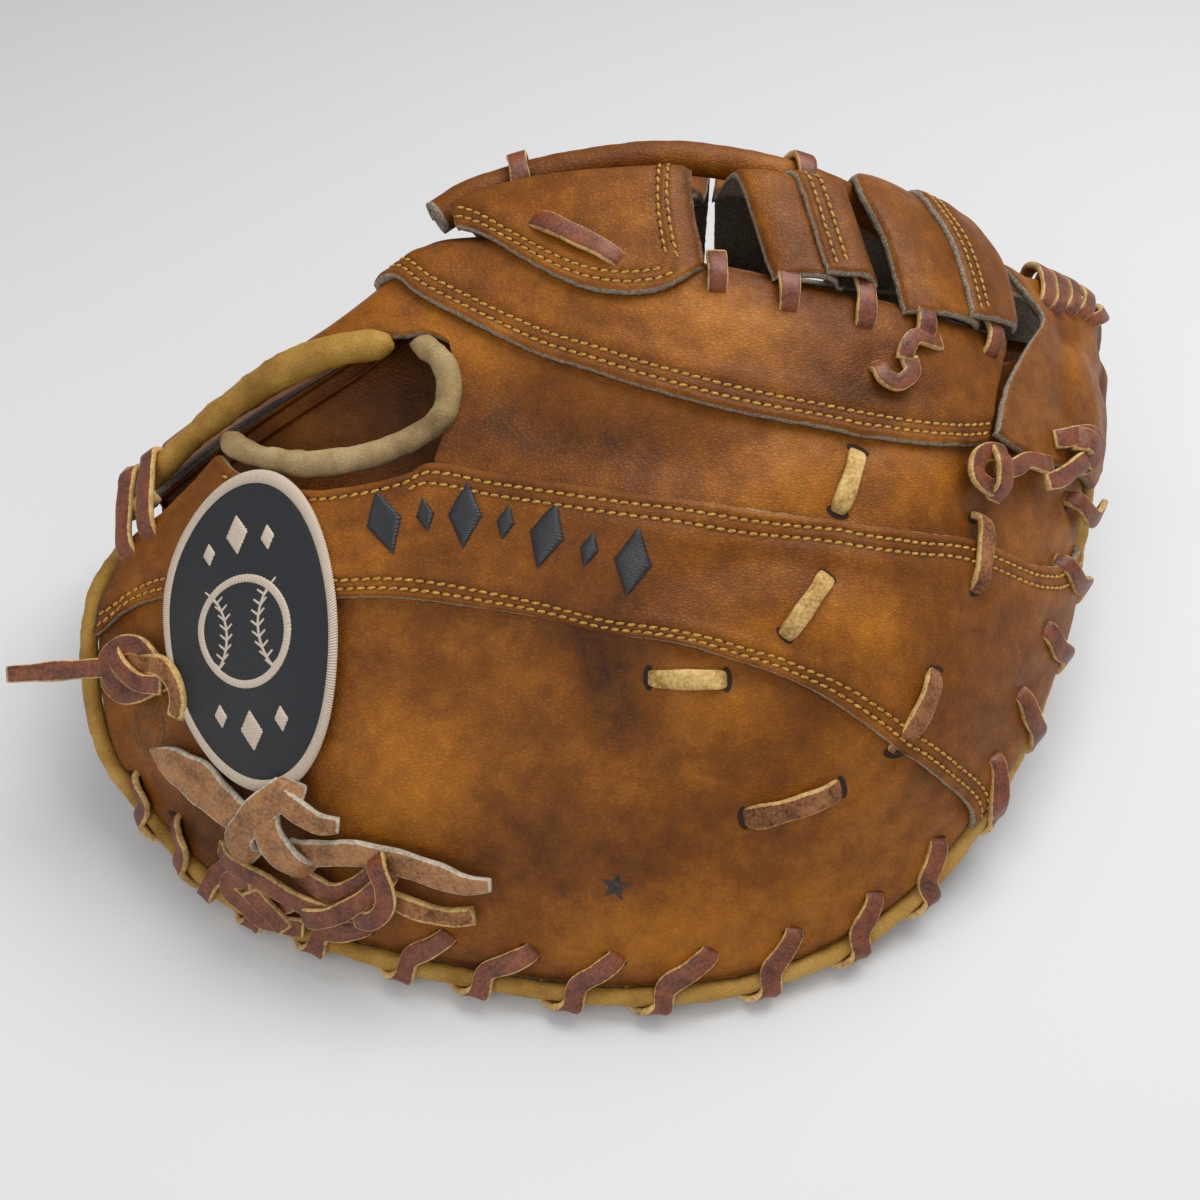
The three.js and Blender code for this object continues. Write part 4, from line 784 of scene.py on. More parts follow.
stations = np.linspace(-0.435, 0.472, 120)
first = np.array([edge_inset(a, FINGER_EDGE) for a in stations])[:, None]
last = np.array([edge_inset(a, LACING_INSET + 1, LAST_STEP) for a in stations])[:, None]
around = first + (last - first) * np.linspace(0, 1, 170)
along = np.broadcast_to(stations[:, None], around.shape)
base, normal = smooth_skin(along, around), surface_normal(smooth_skin, along, around)
room_mm = hand_room(along, around)
padding = np.minimum(1, 0.45 + 0.55 * np.minimum(around - first, last - around))
open_web = (along > -0.17) & (around > 4.95) & (around < 8.0)
number = np.arange(along.size).reshape(along.shape)
kept = ~open_web[:-1, :-1] & ~open_web[1:, 1:]
outer = base - normal * room_mm[..., None]
inner = base - normal * (room_mm + PALM_THICKNESS * padding)[..., None]
faces = [tuple(q) for q in quads(number)[kept.ravel()]]
sides = {}
for face in faces:
    for a, b in zip(face, face[1:] + face[:1]):
        sides[(a, b)] = (b, a) not in sides
        if (b, a) in sides:
            sides[(b, a)] = sides[(a, b)] = False
rims = [(b, a, a + along.size, b + along.size) for (a, b), edge in sides.items() if edge]
faces = np.array(faces + [tuple(q) for q in quads(number)[kept.ravel()][:, ::-1] + along.size] + rims)
used, faces = np.unique(faces, return_inverse=True)
points = np.vstack([outer.reshape(-1, 3), inner.reshape(-1, 3)])[used]
points[:, 2] = np.maximum(points[:, 2], 0.3)
faces = outward(points, faces.reshape(-1, 4))
palm = piece("palm_body", points, faces, palm_leather,
             {"tone": 0.08 * ripple(points, 60, 2), "raw": np.zeros(len(points))})
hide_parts("palm")

# Thumb half: a wall on the far side and a panel that lies on the floor, of the same tan leather.
THUMB_TOP = [(-0.437, 5.85), (-0.30, 5.9), (-0.19, 6.2), (-0.14, 7.4), (-0.10, 7.95), (0.033, 8.05),
             (0.20, 8.0), (0.33, 7.9), (0.385, 7.3), (0.41, 6.45), (0.45, 6.35), (0.515, 6.35)]
THUMB_SEAM = [(-0.437, 8.9), (-0.2, 8.95), (0.1, 8.95), (0.35, 8.95), (0.515, 8.9)]
thumb_side = leather_panel(
    "thumb_panel_side", THUMB_TOP, THUMB_SEAM, cells=(200, 60),
    level=lambda u, v, around: -3.7 + 6.8 * smoothstep(6.1, 7.6, around), seams={"high": double_row()},
    turned=("low",))
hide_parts("thumb_side_panel")
thumb_back = leather_panel(
    "thumb_panel_back", moved(THUMB_SEAM, -0.2),
    [(a, edge_inset(a, LACING_INSET, LAST_STEP)) for a in np.linspace(-0.437, 0.515, 18)], cells=(150, 80),
    level=FIRST)
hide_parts("thumb_back_panel")

# Web: a base tab and two arched bars of doubled leather, open between them. Each bar is rolled on
# its heel side and has a cut edge and two rows of stitches along its middle.
def web_level(at_spine):
    def level(u, v, around):
        front = smoothstep(5.62, 5.98, around) * (1 - smoothstep(6.5, 7.1, around))
        return THIRD + (at_spine - THIRD) * front
    return level


UNDER_SPINE, OVER_SPINE = -10.7, 4.9
web_tab = leather_panel(
    "web_tab_leather", [(-0.125, 5.28), (-0.070, 4.90), (-0.013, 4.73), (0.053, 4.79), (0.090, 5.02)],
    [(-0.120, 8.35), (-0.020, 8.4), (0.080, 8.4)],
    start=[(-0.125, 5.28), (-0.128, 5.7), (-0.120, 6.5), (-0.120, 8.35)],
    end=[(0.090, 5.02), (0.080, 5.6), (0.095, 6.2), (0.108, 7.0), (0.110, 8.4)],
    cells=(84, 120), level=web_level(UNDER_SPINE), turned=("end",),
    seams={"low": ((2.7, 0.02, 0.86), (5.7, 0.04, 0.82)), "end": ((8.5, 0.05, 0.34), (11.3, 0.07, 0.34))})
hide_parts("web_base_tab")


def web_bar(name, low, high, start, end, at_spine):
    """One bar: the rolled half below, the cut and sewn half over it."""
    flat = web_level(at_spine)

    def rolled(u, v, around):
        arch = 2 * np.clip(u / 0.95, 0, 1) - 0.95
        return flat(u, v, around) + 3.4 * np.sqrt(np.clip(1 - arch ** 2, 0, 1)) - 1.6

    def sewn(u, v, around):
        arch = np.sqrt(np.clip(1 - u ** 2, 0, 1))
        return flat(u, v, around) + 2.7 + 1.0 * arch - 1.6 * smoothstep(0.7, 1.0, u)

    middle = [((a[0] * 0.52 + b[0] * 0.48), (a[1] * 0.52 + b[1] * 0.48)) for a, b in zip(start, end)]
    tuck = [((a[0] * 0.30 + b[0] * 0.70), (a[1] * 0.30 + b[1] * 0.70)) for a, b in zip(start, end)]
    roll = leather_panel(
        f"{name}_roll", [low[0], (tuck[0][0], tuck[0][1] + 0.01)], [high[0], tuck[-1]], start=start,
        end=tuck,
        cells=(40, 120), turned=("end",), level=rolled)
    over = leather_panel(
        f"{name}_face", [middle[0], low[-1]], [middle[-1], high[-1]], start=middle, end=end,
        cells=(44, 120), turned=("end",), seams={"start": ((2.6, 0.02, 0.44), (5.4, 0.03, 0.44))},
        level=sewn)
    return roll, over


bars = [
    ("web_bar_heel", [(0.148, 4.98), (0.195, 5.03), (0.238, 5.06)], [(0.125, 8.4), (0.200, 8.4)],
     [(0.148, 4.98), (0.130, 5.45), (0.116, 5.8), (0.111, 6.4), (0.115, 7.0), (0.125, 8.4)],
     [(0.238, 5.06), (0.222, 5.5), (0.212, 5.8), (0.205, 6.2), (0.200, 7.0), (0.200, 8.4)], UNDER_SPINE),
    ("web_bar_tip", [(0.262, 4.90), (0.320, 4.96), (0.376, 4.98)], [(0.240, 8.3), (0.345, 8.3)],
     [(0.262, 4.90), (0.250, 5.45), (0.235, 5.8), (0.237, 6.4), (0.240, 8.3)],
     [(0.376, 4.98), (0.376, 5.5), (0.364, 6.1), (0.350, 7.0), (0.345, 8.3)], OVER_SPINE)]
for bar in bars:
    roll, over = web_bar(*bar)
    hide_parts(bar[0])
    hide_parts(bar[0])


# Laces: rawhide strips 5 to 6 mm wide, stained brown on the grain side, cut edges left pale, the
# flesh side rough. Every lace is a strip swept along its own path.
def lace_leather(name, grain, edge, flesh, gloss):
    material, tree, shader = new_material(name)
    where = own_place(tree)
    fibre = noise(tree, where, 1100, 5, 0.7)["Fac"]
    patch = noise(tree, where, 170, 3)["Fac"]
    mixed = maths(tree, "MULTIPLY_ADD", patch, 0.7, fibre)
    smooth, fuzzy, rough_side = (
        ramp(tree, mixed, (0.66, dark), (1.06, light)) for dark, light in (grain, edge, flesh))
    frayed = maths(tree, "MULTIPLY_ADD", fibre, 0.5, point_value(tree, "raw"))
    frayed = spread(tree, frayed, 0.62, 0.84)
    back = point_value(tree, "flesh")
    tint = blend(tree, frayed, blend(tree, back, smooth, rough_side), fuzzy)
    rough = maths(tree, "MULTIPLY_ADD", frayed, 0.35, gloss)
    rough = maths(tree, "MULTIPLY_ADD", back, 0.3, rough)
    finish(tree, shader, tint, rough, fibre, 0.7, 0.00022)
    return material


PALE_EDGE = ("#9a6f35", "#dcb876")
brown_lace = lace_leather("rawhide_lace_brown", ("#45200f", "#8a4826"), PALE_EDGE, ("#5a2d10", "#a8703a"),
                          0.42)
cream_lace = lace_leather("rawhide_lace_flesh_side_up", ("#9a6d2c", "#dcb974"), PALE_EDGE,
                          ("#9a6d2c", "#d2aa62"), 0.8)
rough_lace = lace_leather("rawhide_lace_rough_brown", ("#4d2410", "#a06a3c"), PALE_EDGE,
                          ("#5a2d10", "#a8703a"), 0.85)
LACE_WIDTH, LACE_THICKNESS = 5.6, 2.0
# One side of a strip's section: share of half the width, share of half the thickness, raw, flesh
STRIP_SECTION = [
    (0.80, 0.96, 0.0, 0), (0.95, 0.74, 0.9, 0), (1.0, 0.25, 1, 0), (1.0, -0.3, 1, 0), (0.93, -0.82, 1, 0.6),
    (0.6, -0.98, 0.2, 1),
    (0.0, -1.0, 0, 1)]


def ribbon(rows, width=LACE_WIDTH, thickness=LACE_THICKNESS, step=1.0, seed=1):
    """Strip through rows of (point, normal of its face, roll in degrees, share of the width), in mm:
    vertices, faces, rawness and flesh side."""
    points = np.array([row[0] for row in rows], float)
    facing = np.array([row[1] for row in rows], float)
    roll = np.array([row[2] if len(row) > 2 else 0 for row in rows], float)
    taper = np.array([row[3] if len(row) > 3 else 1 for row in rows], float)
    reach = np.concatenate([[0], np.cumsum(np.linalg.norm(np.diff(points, axis=0), axis=1))])
    count = max(int(reach[-1] / step), 6)
    dense = trace([(p[0] / 10, p[1], p[2]) for p in points], count) * (10, 1, 1)
    moved_on = np.concatenate([[0], np.cumsum(np.linalg.norm(np.diff(dense, axis=0), axis=1))])
    share = moved_on / moved_on[-1] * reach[-1]
    facing = unit(np.stack([np.interp(share, reach, facing[:, k]) for k in range(3)], axis=1))
    roll, taper = np.radians(np.interp(share, reach, roll)), np.interp(share, reach, taper)
    tangent = unit(np.gradient(dense, axis=0))
    facing = unit(facing - tangent * np.einsum("ij,ij->i", facing, tangent)[:, None])
    side = np.cross(tangent, facing)
    up = facing * np.cos(roll)[:, None] + side * np.sin(roll)[:, None]
    side = side * np.cos(roll)[:, None] - facing * np.sin(roll)[:, None]
    half = [(0.0, 1.0, 0.0, 0), (0.4, 1.0, 0.0, 0), *STRIP_SECTION]
    section = half + [(-a, b, c, d) for a, b, c, d in reversed(half[1:-1])]
    rng = np.random.default_rng(seed)
    phase = rng.uniform(0, 6.3, 4)
    wobble = 1 + 0.045 * np.sin(moved_on / 1.9 + phase[0]) + 0.04 * np.sin(moved_on / 4.7 + phase[1])
    swellings = 1 + 0.06 * np.sin(moved_on / 3.1 + phase[2])
    half_width, half_thickness = width / 2 * taper * wobble, thickness / 2 * swellings
    vertices = np.stack([
        dense + side * (a * half_width)[:, None] + up * (b * half_thickness)[:, None]
        for a, b, _, _ in section], axis=1)
    across = len(section)
    number = np.arange(len(dense) * across).reshape(len(dense), across)
    closed = np.concatenate([number, number[:, :1]], axis=1)
    faces = quads(closed).tolist() + [number[0].tolist(), number[-1, ::-1].tolist()]
    raw = np.tile([s[2] for s in section], (len(dense), 1)).astype(float)
    raw[0], raw[-1] = 1, 1
    flesh = np.tile([s[3] for s in section], (len(dense), 1)).astype(float)
    vertices = vertices.reshape(-1, 3)
    return vertices, faces, raw.ravel(), flesh.ravel()


def strips(name, ribbons, material, nodes):
    """Object made of one or more strips, standing for CAD nodes."""
    vertices, faces, raw, flesh = [], [], [], []
    for one in ribbons:
        first = sum(len(v) for v in vertices)
        faces.extend([n + first for n in face] for face in one[1])
        vertices.append(one[0])
        raw.append(one[2])
        flesh.append(one[3])
    made = piece(name, np.vstack(vertices), faces, material,
                 {"raw": np.concatenate(raw), "flesh": np.concatenate(flesh)})
    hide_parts(*nodes)
    return made


def laid(rows):
    """Rows of (along, around, lift, roll, share of the width) as rows of a strip over the skin."""
    along, around, lift = (np.array([row[k] for row in rows], float) for k in range(3))
    points, normals = lifted(along, around, lift), surface_normal(skin, along, around)
    return [(p, n, *row[3:]) for p, n, row in zip(points, normals, rows)]


# Piping: a cord covered with thin mustard leather, sewn between back and palm.
PIPING_RAW = ("#c8b083", "#6e5a3a")
welt_leather = tanned_leather(
    "piping_leather_mustard", "#cfa75c", "#b3873a", "#7d5418", PIPING_RAW, grain=0.8, gloss=0.45)
binding_suede = tanned_leather(
    "binding_suede_worn", "#cbb48a", "#a58a5e", "#5f4c34", PIPING_RAW, grain=0.8, gloss=0.8)


def tube(name, points, radius, material, nodes, rough=0.12, seed=3, ring=16, step=1.3):
    """Round trim through points, slightly uneven, with closed ends."""
    points = np.asarray(points, float)
    reach = np.linalg.norm(np.diff(points, axis=0), axis=1).sum()
    count = max(int(reach / step), 8)
    path = trace([(p[0] / 10, p[1], p[2]) for p in points], count) * (10, 1, 1)
    tangent = unit(np.gradient(path, axis=0))
    up = np.tile([0.0, 0.0, 1.0], (count, 1))
    side = unit(np.cross(tangent, up))
    for k in range(1, count):
        side[k] = unit(side[k - 1] - tangent[k] * (side[k - 1] @ tangent[k]))
    up = np.cross(side, tangent)
    angle = np.linspace(0, 2 * np.pi, ring, endpoint=False)
    radius = np.interp(np.linspace(0, 1, count), np.linspace(0, 1, np.size(radius)), np.atleast_1d(radius))
    cap = np.sqrt(np.clip(np.minimum(np.arange(count), np.arange(count)[::-1]) * step / radius, 0.02, 1))
    swelling = 1 + rough * ripple(path, 9, seed) * 0.5
    circle = side[:, None] * np.cos(angle)[None, :, None] + up[:, None] * np.sin(angle)[None, :, None]
    vertices = path[:, None] + circle * (radius * swelling * cap)[:, None, None]
    vertices += circle * (0.05 * radius[:, None] * ripple(vertices, 3.5, seed + 1))[..., None]
    number = np.arange(count * ring).reshape(count, ring)
    faces = quads(np.concatenate([number, number[:, :1]], axis=1)).tolist()
    faces += [number[0].tolist(), number[-1, ::-1].tolist()]
    vertices = vertices.reshape(-1, 3)
    vertices[:, 2] = np.maximum(vertices[:, 2], 0.02)
    tone = 0.06 * ripple(vertices, 14, seed)
    made = piece(name, vertices, faces, material, {"tone": tone, "raw": np.zeros(len(vertices))})
    recalculate(made)
    if nodes:
        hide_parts(*nodes)
    return made


def recalculate(made):
    """Turns a closed piece's faces outward."""
    work = bmesh.new()
    work.from_mesh(made.data)
    bmesh.ops.recalc_face_normals(work, faces=work.faces)
    work.to_mesh(made.data)
    work.free()


def on_skin(rows, lift):
    """Points over the skin at rows of (along, around)."""
    return lifted([row[0] for row in rows], [row[1] for row in rows], lift)


WELT_RADIUS, WELT_SINK = 2.5, 1.5
finger_welt_rows = [(-0.431, 3.95), (-0.460, 3.3), (-0.471, 2.3), (-0.474, 1.4), (-0.472, 0.7),
                    (-0.465, 0.15),
                    *((a, 0) for a in np.linspace(-0.45, 0.516, 60))]
tube("finger_welt_trim", on_skin(finger_welt_rows, -WELT_SINK), WELT_RADIUS, welt_leather, ["finger_welt"])
thumb_welt_rows = [(a, LAST_STEP) for a in np.linspace(-0.43, 0.505, 50)]
tube("thumb_welt_trim", on_skin(thumb_welt_rows, -WELT_SINK), WELT_RADIUS, welt_leather, ["thumb_welt"])
tube("hand_hole_binding_trim", on_skin(moved(HOLE_LOWER[:-1] + HOLE_END, 0.03), 0.4), 3.3, binding_suede,
     ["hand_hole_binding"], rough=0.18)
WRIST = -0.455
roll_rows = [*HOLE_UPPER, (-0.427, 4.76), (-0.439, 5.2),
             *((WRIST, v) for v in (6.0, 7.0, 8.2, 9.2, 10.2, 11.2, 12.2))]
roll_lifts = np.interp([row[1] for row in roll_rows], (6.0, 8.2), (-1.1, -3.5))
tube("wrist_roll_trim", on_skin(roll_rows, roll_lifts),
     [4.4, 4.4, 4.2, 3.4, 3.2, 3.2, 3.2, 3.2, 3.2, 3.2, 3.2], welt_leather, ["wrist_roll"])

# The edge lace: over the piping from a hole in the back, seventeen turns round the finger half.
FINGER_LACES = [
    (-0.426, 0.60, -0.412, 0), (-0.383, 0.74, -0.374, 0), (-0.330, 0.66, -0.345, 0),
    (-0.268, 0.50, -0.300, 0),
    (-0.205, 0.40, -0.242, 0), (-0.133, 0.47, -0.163, 0), (-0.060, 0.45, -0.097, 0),
    (0.013, 0.48, -0.018, 0),
    (0.093, 0.50, 0.057, 0), (0.167, 0.53, 0.147, 0), (0.240, 0.51, 0.225, 0), (0.300, 0.59, 0.288, 0),
    (0.347, 0.99, 0.348, 1), (0.373, 1.35, 0.390, 1), (0.402, 1.60, 0.425, 1), (0.426, 1.94, 0.452, 1),
    (0.443, 2.42, 0.478, 1)]


def lacing_frame(along, step):
    """Directions at a lacing line: into the leather, and out of it square to the line."""
    inner = 0.25 if step == 0 else step - 0.25
    tangent = unit(smooth_skin(min(along + 0.004, LAST_ALONG), step) - smooth_skin(along - 0.004, step))
    inward = smooth_skin(along, inner) - smooth_skin(along, step)
    inward = unit(inward - tangent * (inward @ tangent))
    out = np.cross(tangent, inward)
    return inward, out if out @ surface_normal(smooth_skin, along, abs(step - 0.05)) > 0 else -out


turns = []
for index, (hole_along, hole_around, welt_along, layer) in enumerate(FINGER_LACES):
    level = layer * SECOND + 1.0
    foot = (welt_along, edge_inset(welt_along, FINGER_EDGE + 1.2))
    mid = (0.55 * hole_along + 0.45 * foot[0], 0.55 * hole_around + 0.45 * foot[1])
    into = (1.16 * hole_along - 0.16 * mid[0], 1.16 * hole_around - 0.16 * mid[1])
    rows = laid([(*into, level - 4.0, 16, 0.8), (hole_along, hole_around, level - 0.1, 18, 0.92),
                 (*mid, level + 0.35, 22, 1.0), (*foot, level + 0.2, 20, 1.0)])
    centre = lifted(welt_along, 0, -WELT_SINK)
    inward, out = lacing_frame(welt_along, 0)
    along_welt = unit(np.cross(out, inward))
    run = rows[3][0] - rows[1][0]
    slope = np.clip((run @ along_welt) / np.linalg.norm(run - along_welt * (run @ along_welt)), -1.0, 1.0)
    centre = centre - along_welt * ((centre - rows[3][0]) @ along_welt)
    for degrees in (25, 60, 95, 130, 165, 195):
        angle = math.radians(degrees)
        normal = out * math.cos(angle) - inward * math.sin(angle)
        reach = WELT_RADIUS + 0.95 if degrees < 160 else WELT_RADIUS + 0.2
        drift = along_welt * slope * (WELT_RADIUS + 1) * math.radians(degrees - 5)
        rows.append((centre + normal * reach + drift, normal, 14 if degrees < 60 else 0, 1.0))
    for row in rows:
        row[0][2] = max(row[0][2], 1.3)
    turns.append(ribbon(rows, seed=20 + index))
strips("edge_laces", turns, brown_lace, [f"edge_lace_{k + 1}" for k in range(17)])

# The same lace round the thumb half, close to the floor.
turns = []
for index, along_here in enumerate(np.linspace(-0.39, 0.44, 22)):
    inward, out = lacing_frame(along_here, LAST_STEP)
    centre = lifted(along_here, LAST_STEP, -WELT_SINK)
    rows = []
    for degrees in (-160, -120, -80, -40, 0, 40, 80, 120):
        angle = math.radians(degrees)
        normal = -out * math.cos(angle) - inward * math.sin(angle)
        rows.append((centre + normal * (WELT_RADIUS + 1.1), normal))
    rows = [row for row in rows if row[0][2] > 1.0]
    if len(rows) > 3:
        turns.append(ribbon(rows, seed=60 + index, width=4.6))
strips("thumb_laces", turns, brown_lace, ["thumb_lacing"])

# Short laces that hold the finger padding, each seen as one long stitch between two slots.
# name, first slot, second slot, layer, leather, width
PAD_LACES = [
    ("pad_lace_upper", (0.220, 3.83), (0.200, 3.44), 0, cream_lace, 4.9),
    ("pad_lace_middle", (0.186, 3.05), (0.150, 2.75), 1, cream_lace, 4.9),
    ("pad_lace_lower", (0.040, 2.52), (0.103, 2.52), 0, cream_lace, 4.9),
    ("pad_lace_tip_upper", (0.330, 3.26), (0.320, 2.74), 1, rough_lace, 5.2),
    ("pad_lace_tip_lower", (0.280, 2.36), (0.250, 1.86), 1, rough_lace, 5.4),
    ("pad_lace_suede", (0.120, 1.67), (0.204, 1.75), 0, rough_lace, 6.2)]
# share of the way, lift over the leather, roll, share of the width
PAD_LACE_ROWS = [
    (-0.03, -3.2, 0, 0.62), (0.03, -0.4, 0, 0.8), (0.14, 0.95, 0, 1), (0.5, 1.35, 4, 1), (0.86, 0.95, 0, 1),
    (0.97, -0.4, 0, 0.8), (1.03, -3.2, 0, 0.62)]
for index, (name, start, end, layer, material, width) in enumerate(PAD_LACES):
    rows = []
    for share, lift, roll, width_share in PAD_LACE_ROWS:
        level = 0.0 if name == "pad_lace_tip_lower" and share > 0.5 else layer * SECOND
        rows.append((start[0] + (end[0] - start[0]) * share, start[1] + (end[1] - start[1]) * share,
                     level + lift, roll, width_share))
    strips(f"{name}_strip", [ribbon(laid(rows), width=width, seed=100 + index)], material, [name])

# Spine: a strip of tan leather rolled into a post along the top of the web.
SPINE = [(-0.144, 5.94, 2.4), (-0.128, 5.98, 1.8), (-0.07, 6.12, -1.5), (0.03, 6.2, -3.6),
         (0.15, 6.2, -3.9), (0.25, 6.15, -4.2), (0.33, 6.1, -5.4), (0.365, 6.05, -6)]
SPINE_RADIUS = 6
spine_rows = trace(SPINE, 9)
spine_points = lifted(spine_rows[:, 0], spine_rows[:, 1], spine_rows[:, 2])


def rolled_post(name, points, radius, material, nodes):
    """Leather rolled one and a half times, its cut edge along the post and its ends open."""
    path = trace([(p[0] / 10, p[1], p[2]) for p in points], 150) * (10, 1, 1)
    tangent = unit(np.gradient(path, axis=0))
    side = unit(np.cross(tangent, np.array([0, 0, 1.0])))
    up = np.cross(side, tangent)
    angle = np.linspace(0.3, 0.3 + 3.1 * np.pi, 44)
    outside = radius - 2.55 * (angle[-1] - angle) / (2 * np.pi)
    inside = outside - 2.0
    section = np.concatenate([np.stack([outside * np.cos(angle), outside * np.sin(angle)], 1),
                              np.stack([inside * np.cos(angle), inside * np.sin(angle)], 1)[::-1]])
    raw = np.concatenate([np.zeros(44), np.ones(44)])
    raw[[42, 43]] = (0.5, 1)
    twist = 0.25 * np.sin(np.linspace(0, 3, len(path)))
    c, s = np.cos(twist)[:, None], np.sin(twist)[:, None]
    a, b = section[:, 0] * c - section[:, 1] * s, section[:, 0] * s + section[:, 1] * c
    vertices = path[:, None] + side[:, None] * a[..., None] + up[:, None] * b[..., None]
    vertices += (0.10 * ripple(vertices, 6, 8))[..., None] * up[:, None]
    number = np.arange(len(path) * 88).reshape(len(path), 88)
    faces = quads(np.concatenate([number, number[:, :1]], axis=1)).tolist()
    for row in (number[0], number[-1, ::-1]):
        faces += [[row[k], row[k + 1], row[86 - k], row[87 - k]] for k in range(43)]
    rawness = np.tile(raw, (len(path), 1))
    rawness[[0, 1, -2, -1]] = np.maximum(rawness[[0, 1, -2, -1]], [[1], [0.6], [0.6], [1]])
    vertices = vertices.reshape(-1, 3)
    made = piece(name, vertices, faces, material,
                 {"raw": rawness.ravel(), "tone": 0.05 * ripple(vertices, 25, 4)})
    recalculate(made)
    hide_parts(*nodes)
    return made


rolled_post("web_spine_post", spine_points, SPINE_RADIUS, tan_leather, ["web_spine"])

# Brown laces of the web: through the base tab, over the spine, and from the feet of the bars into the back.
spine_path = trace([(p[0] / 10, p[1], p[2]) for p in spine_points], 101) * (10, 1, 1)
loops = []
for share, lean in ((16, 1), (64, -1)):
    centre, tangent = spine_path[share], unit(spine_path[share + 2] - spine_path[share - 2])
    inward = -unit(np.cross(tangent, (0, 0, 1)))
    out = np.cross(tangent, inward)
    if out[2] < 0:
        out = -out
    rows = []
    for degrees in (-115, -85, -50, -15, 20, 55, 90, 115):
        angle = math.radians(degrees)
        normal = out * math.cos(angle) + inward * math.sin(angle)
        rows.append((centre + normal * (SPINE_RADIUS + 1.2) + tangent * lean * degrees * 0.02, normal))
    loops.append(ribbon(rows, seed=share))
strips("spine_laces", loops, brown_lace, ["spine_lace_heel", "spine_lace_tip"])
tab_rows = laid([
    (-0.060, 5.24, 3.0, 0, 0.7), (-0.053, 5.21, 5.9, 0, 0.85), (-0.042, 5.17, 7.4, 0, 1),
    (-0.017, 5.08, 7.7, 0, 1),
    (0.006, 5.00, 7.4, 0, 1), (0.016, 4.97, 5.9, 0, 0.85), (0.023, 4.95, 3.0, 0, 0.7)])
strips("web_tab_lace", [ribbon(tab_rows, seed=7)], brown_lace, ["web_lace_tab"])
feet = []
BAR_FEET = [(0.100, 5.02, 4.86), (0.160, 5.0, 4.78), (0.226, 5.02, 4.76), (0.278, 4.92, 4.70),
            (0.347, 4.96, 4.72)]
for index, (along_here, high, low) in enumerate(BAR_FEET):
    feet.append(ribbon(laid([
        (along_here, high + 0.10, 4.0, 0, 0.9), (along_here, high + 0.02, 5.3, 0, 1),
        (along_here, high - 0.08, 5.9, 0, 1),
        (along_here, 0.5 * (high + low) - 0.04, 5.2, 0, 1), (along_here, low, 3.4, 0, 0.9),
        (along_here, low - 0.02, 0.4, 0, 0.8)]), seed=30 + index))
strips("bar_foot_laces", feet, brown_lace, ["bar_foot_lace_1", "bar_foot_lace_2", "bar_foot_lace_3"])

# Five close turns of lace over the rim of the tip cap.
rim = []
for index, along_here in enumerate((0.434, 0.452, 0.470, 0.488, 0.505)):
    rim.append(ribbon(laid([
        (along_here - 0.016, 5.36, 1.0, 0, 0.8), (along_here - 0.012, 5.44, 4.0, 0, 0.9),
        (along_here - 0.004, 5.70, 4.6, 0, 1), (along_here, 6.0, 4.9, 0, 1),
        (along_here, 6.3, 4.9, 0, 1), (along_here, 6.62, 4.2, 0, 1), (along_here, 6.75, 1.0, 0, 0.8)]),
        width=4.6, seed=40 + index))
strips("rim_laces", rim, brown_lace, [f"rim_lace_{k + 1}" for k in range(5)])

# Two laces across the slit between the hand hole and the wrist.
slits = [ribbon(laid(rows), seed=50 + k) for k, rows in enumerate((
    [(-0.396, 3.78, 1.0, 0, 0.8), (-0.398, 3.9, 3.9), (-0.401, 4.35, 4.6), (-0.404, 4.72, 3.6),
     (-0.405, 4.85, 3.2), (-0.406, 5.0, -1.0, 0, 0.9)],
    [(-0.418, 3.62, 1.0, 0, 0.8), (-0.421, 3.75, 3.9), (-0.424, 4.25, 4.4), (-0.426, 4.6, 3.6),
     (-0.426, 4.8, 3.2), (-0.427, 4.95, -1.0, 0, 0.9)]))]
strips("slit_laces", slits, brown_lace, ["slit_lace_1", "slit_lace_2"])

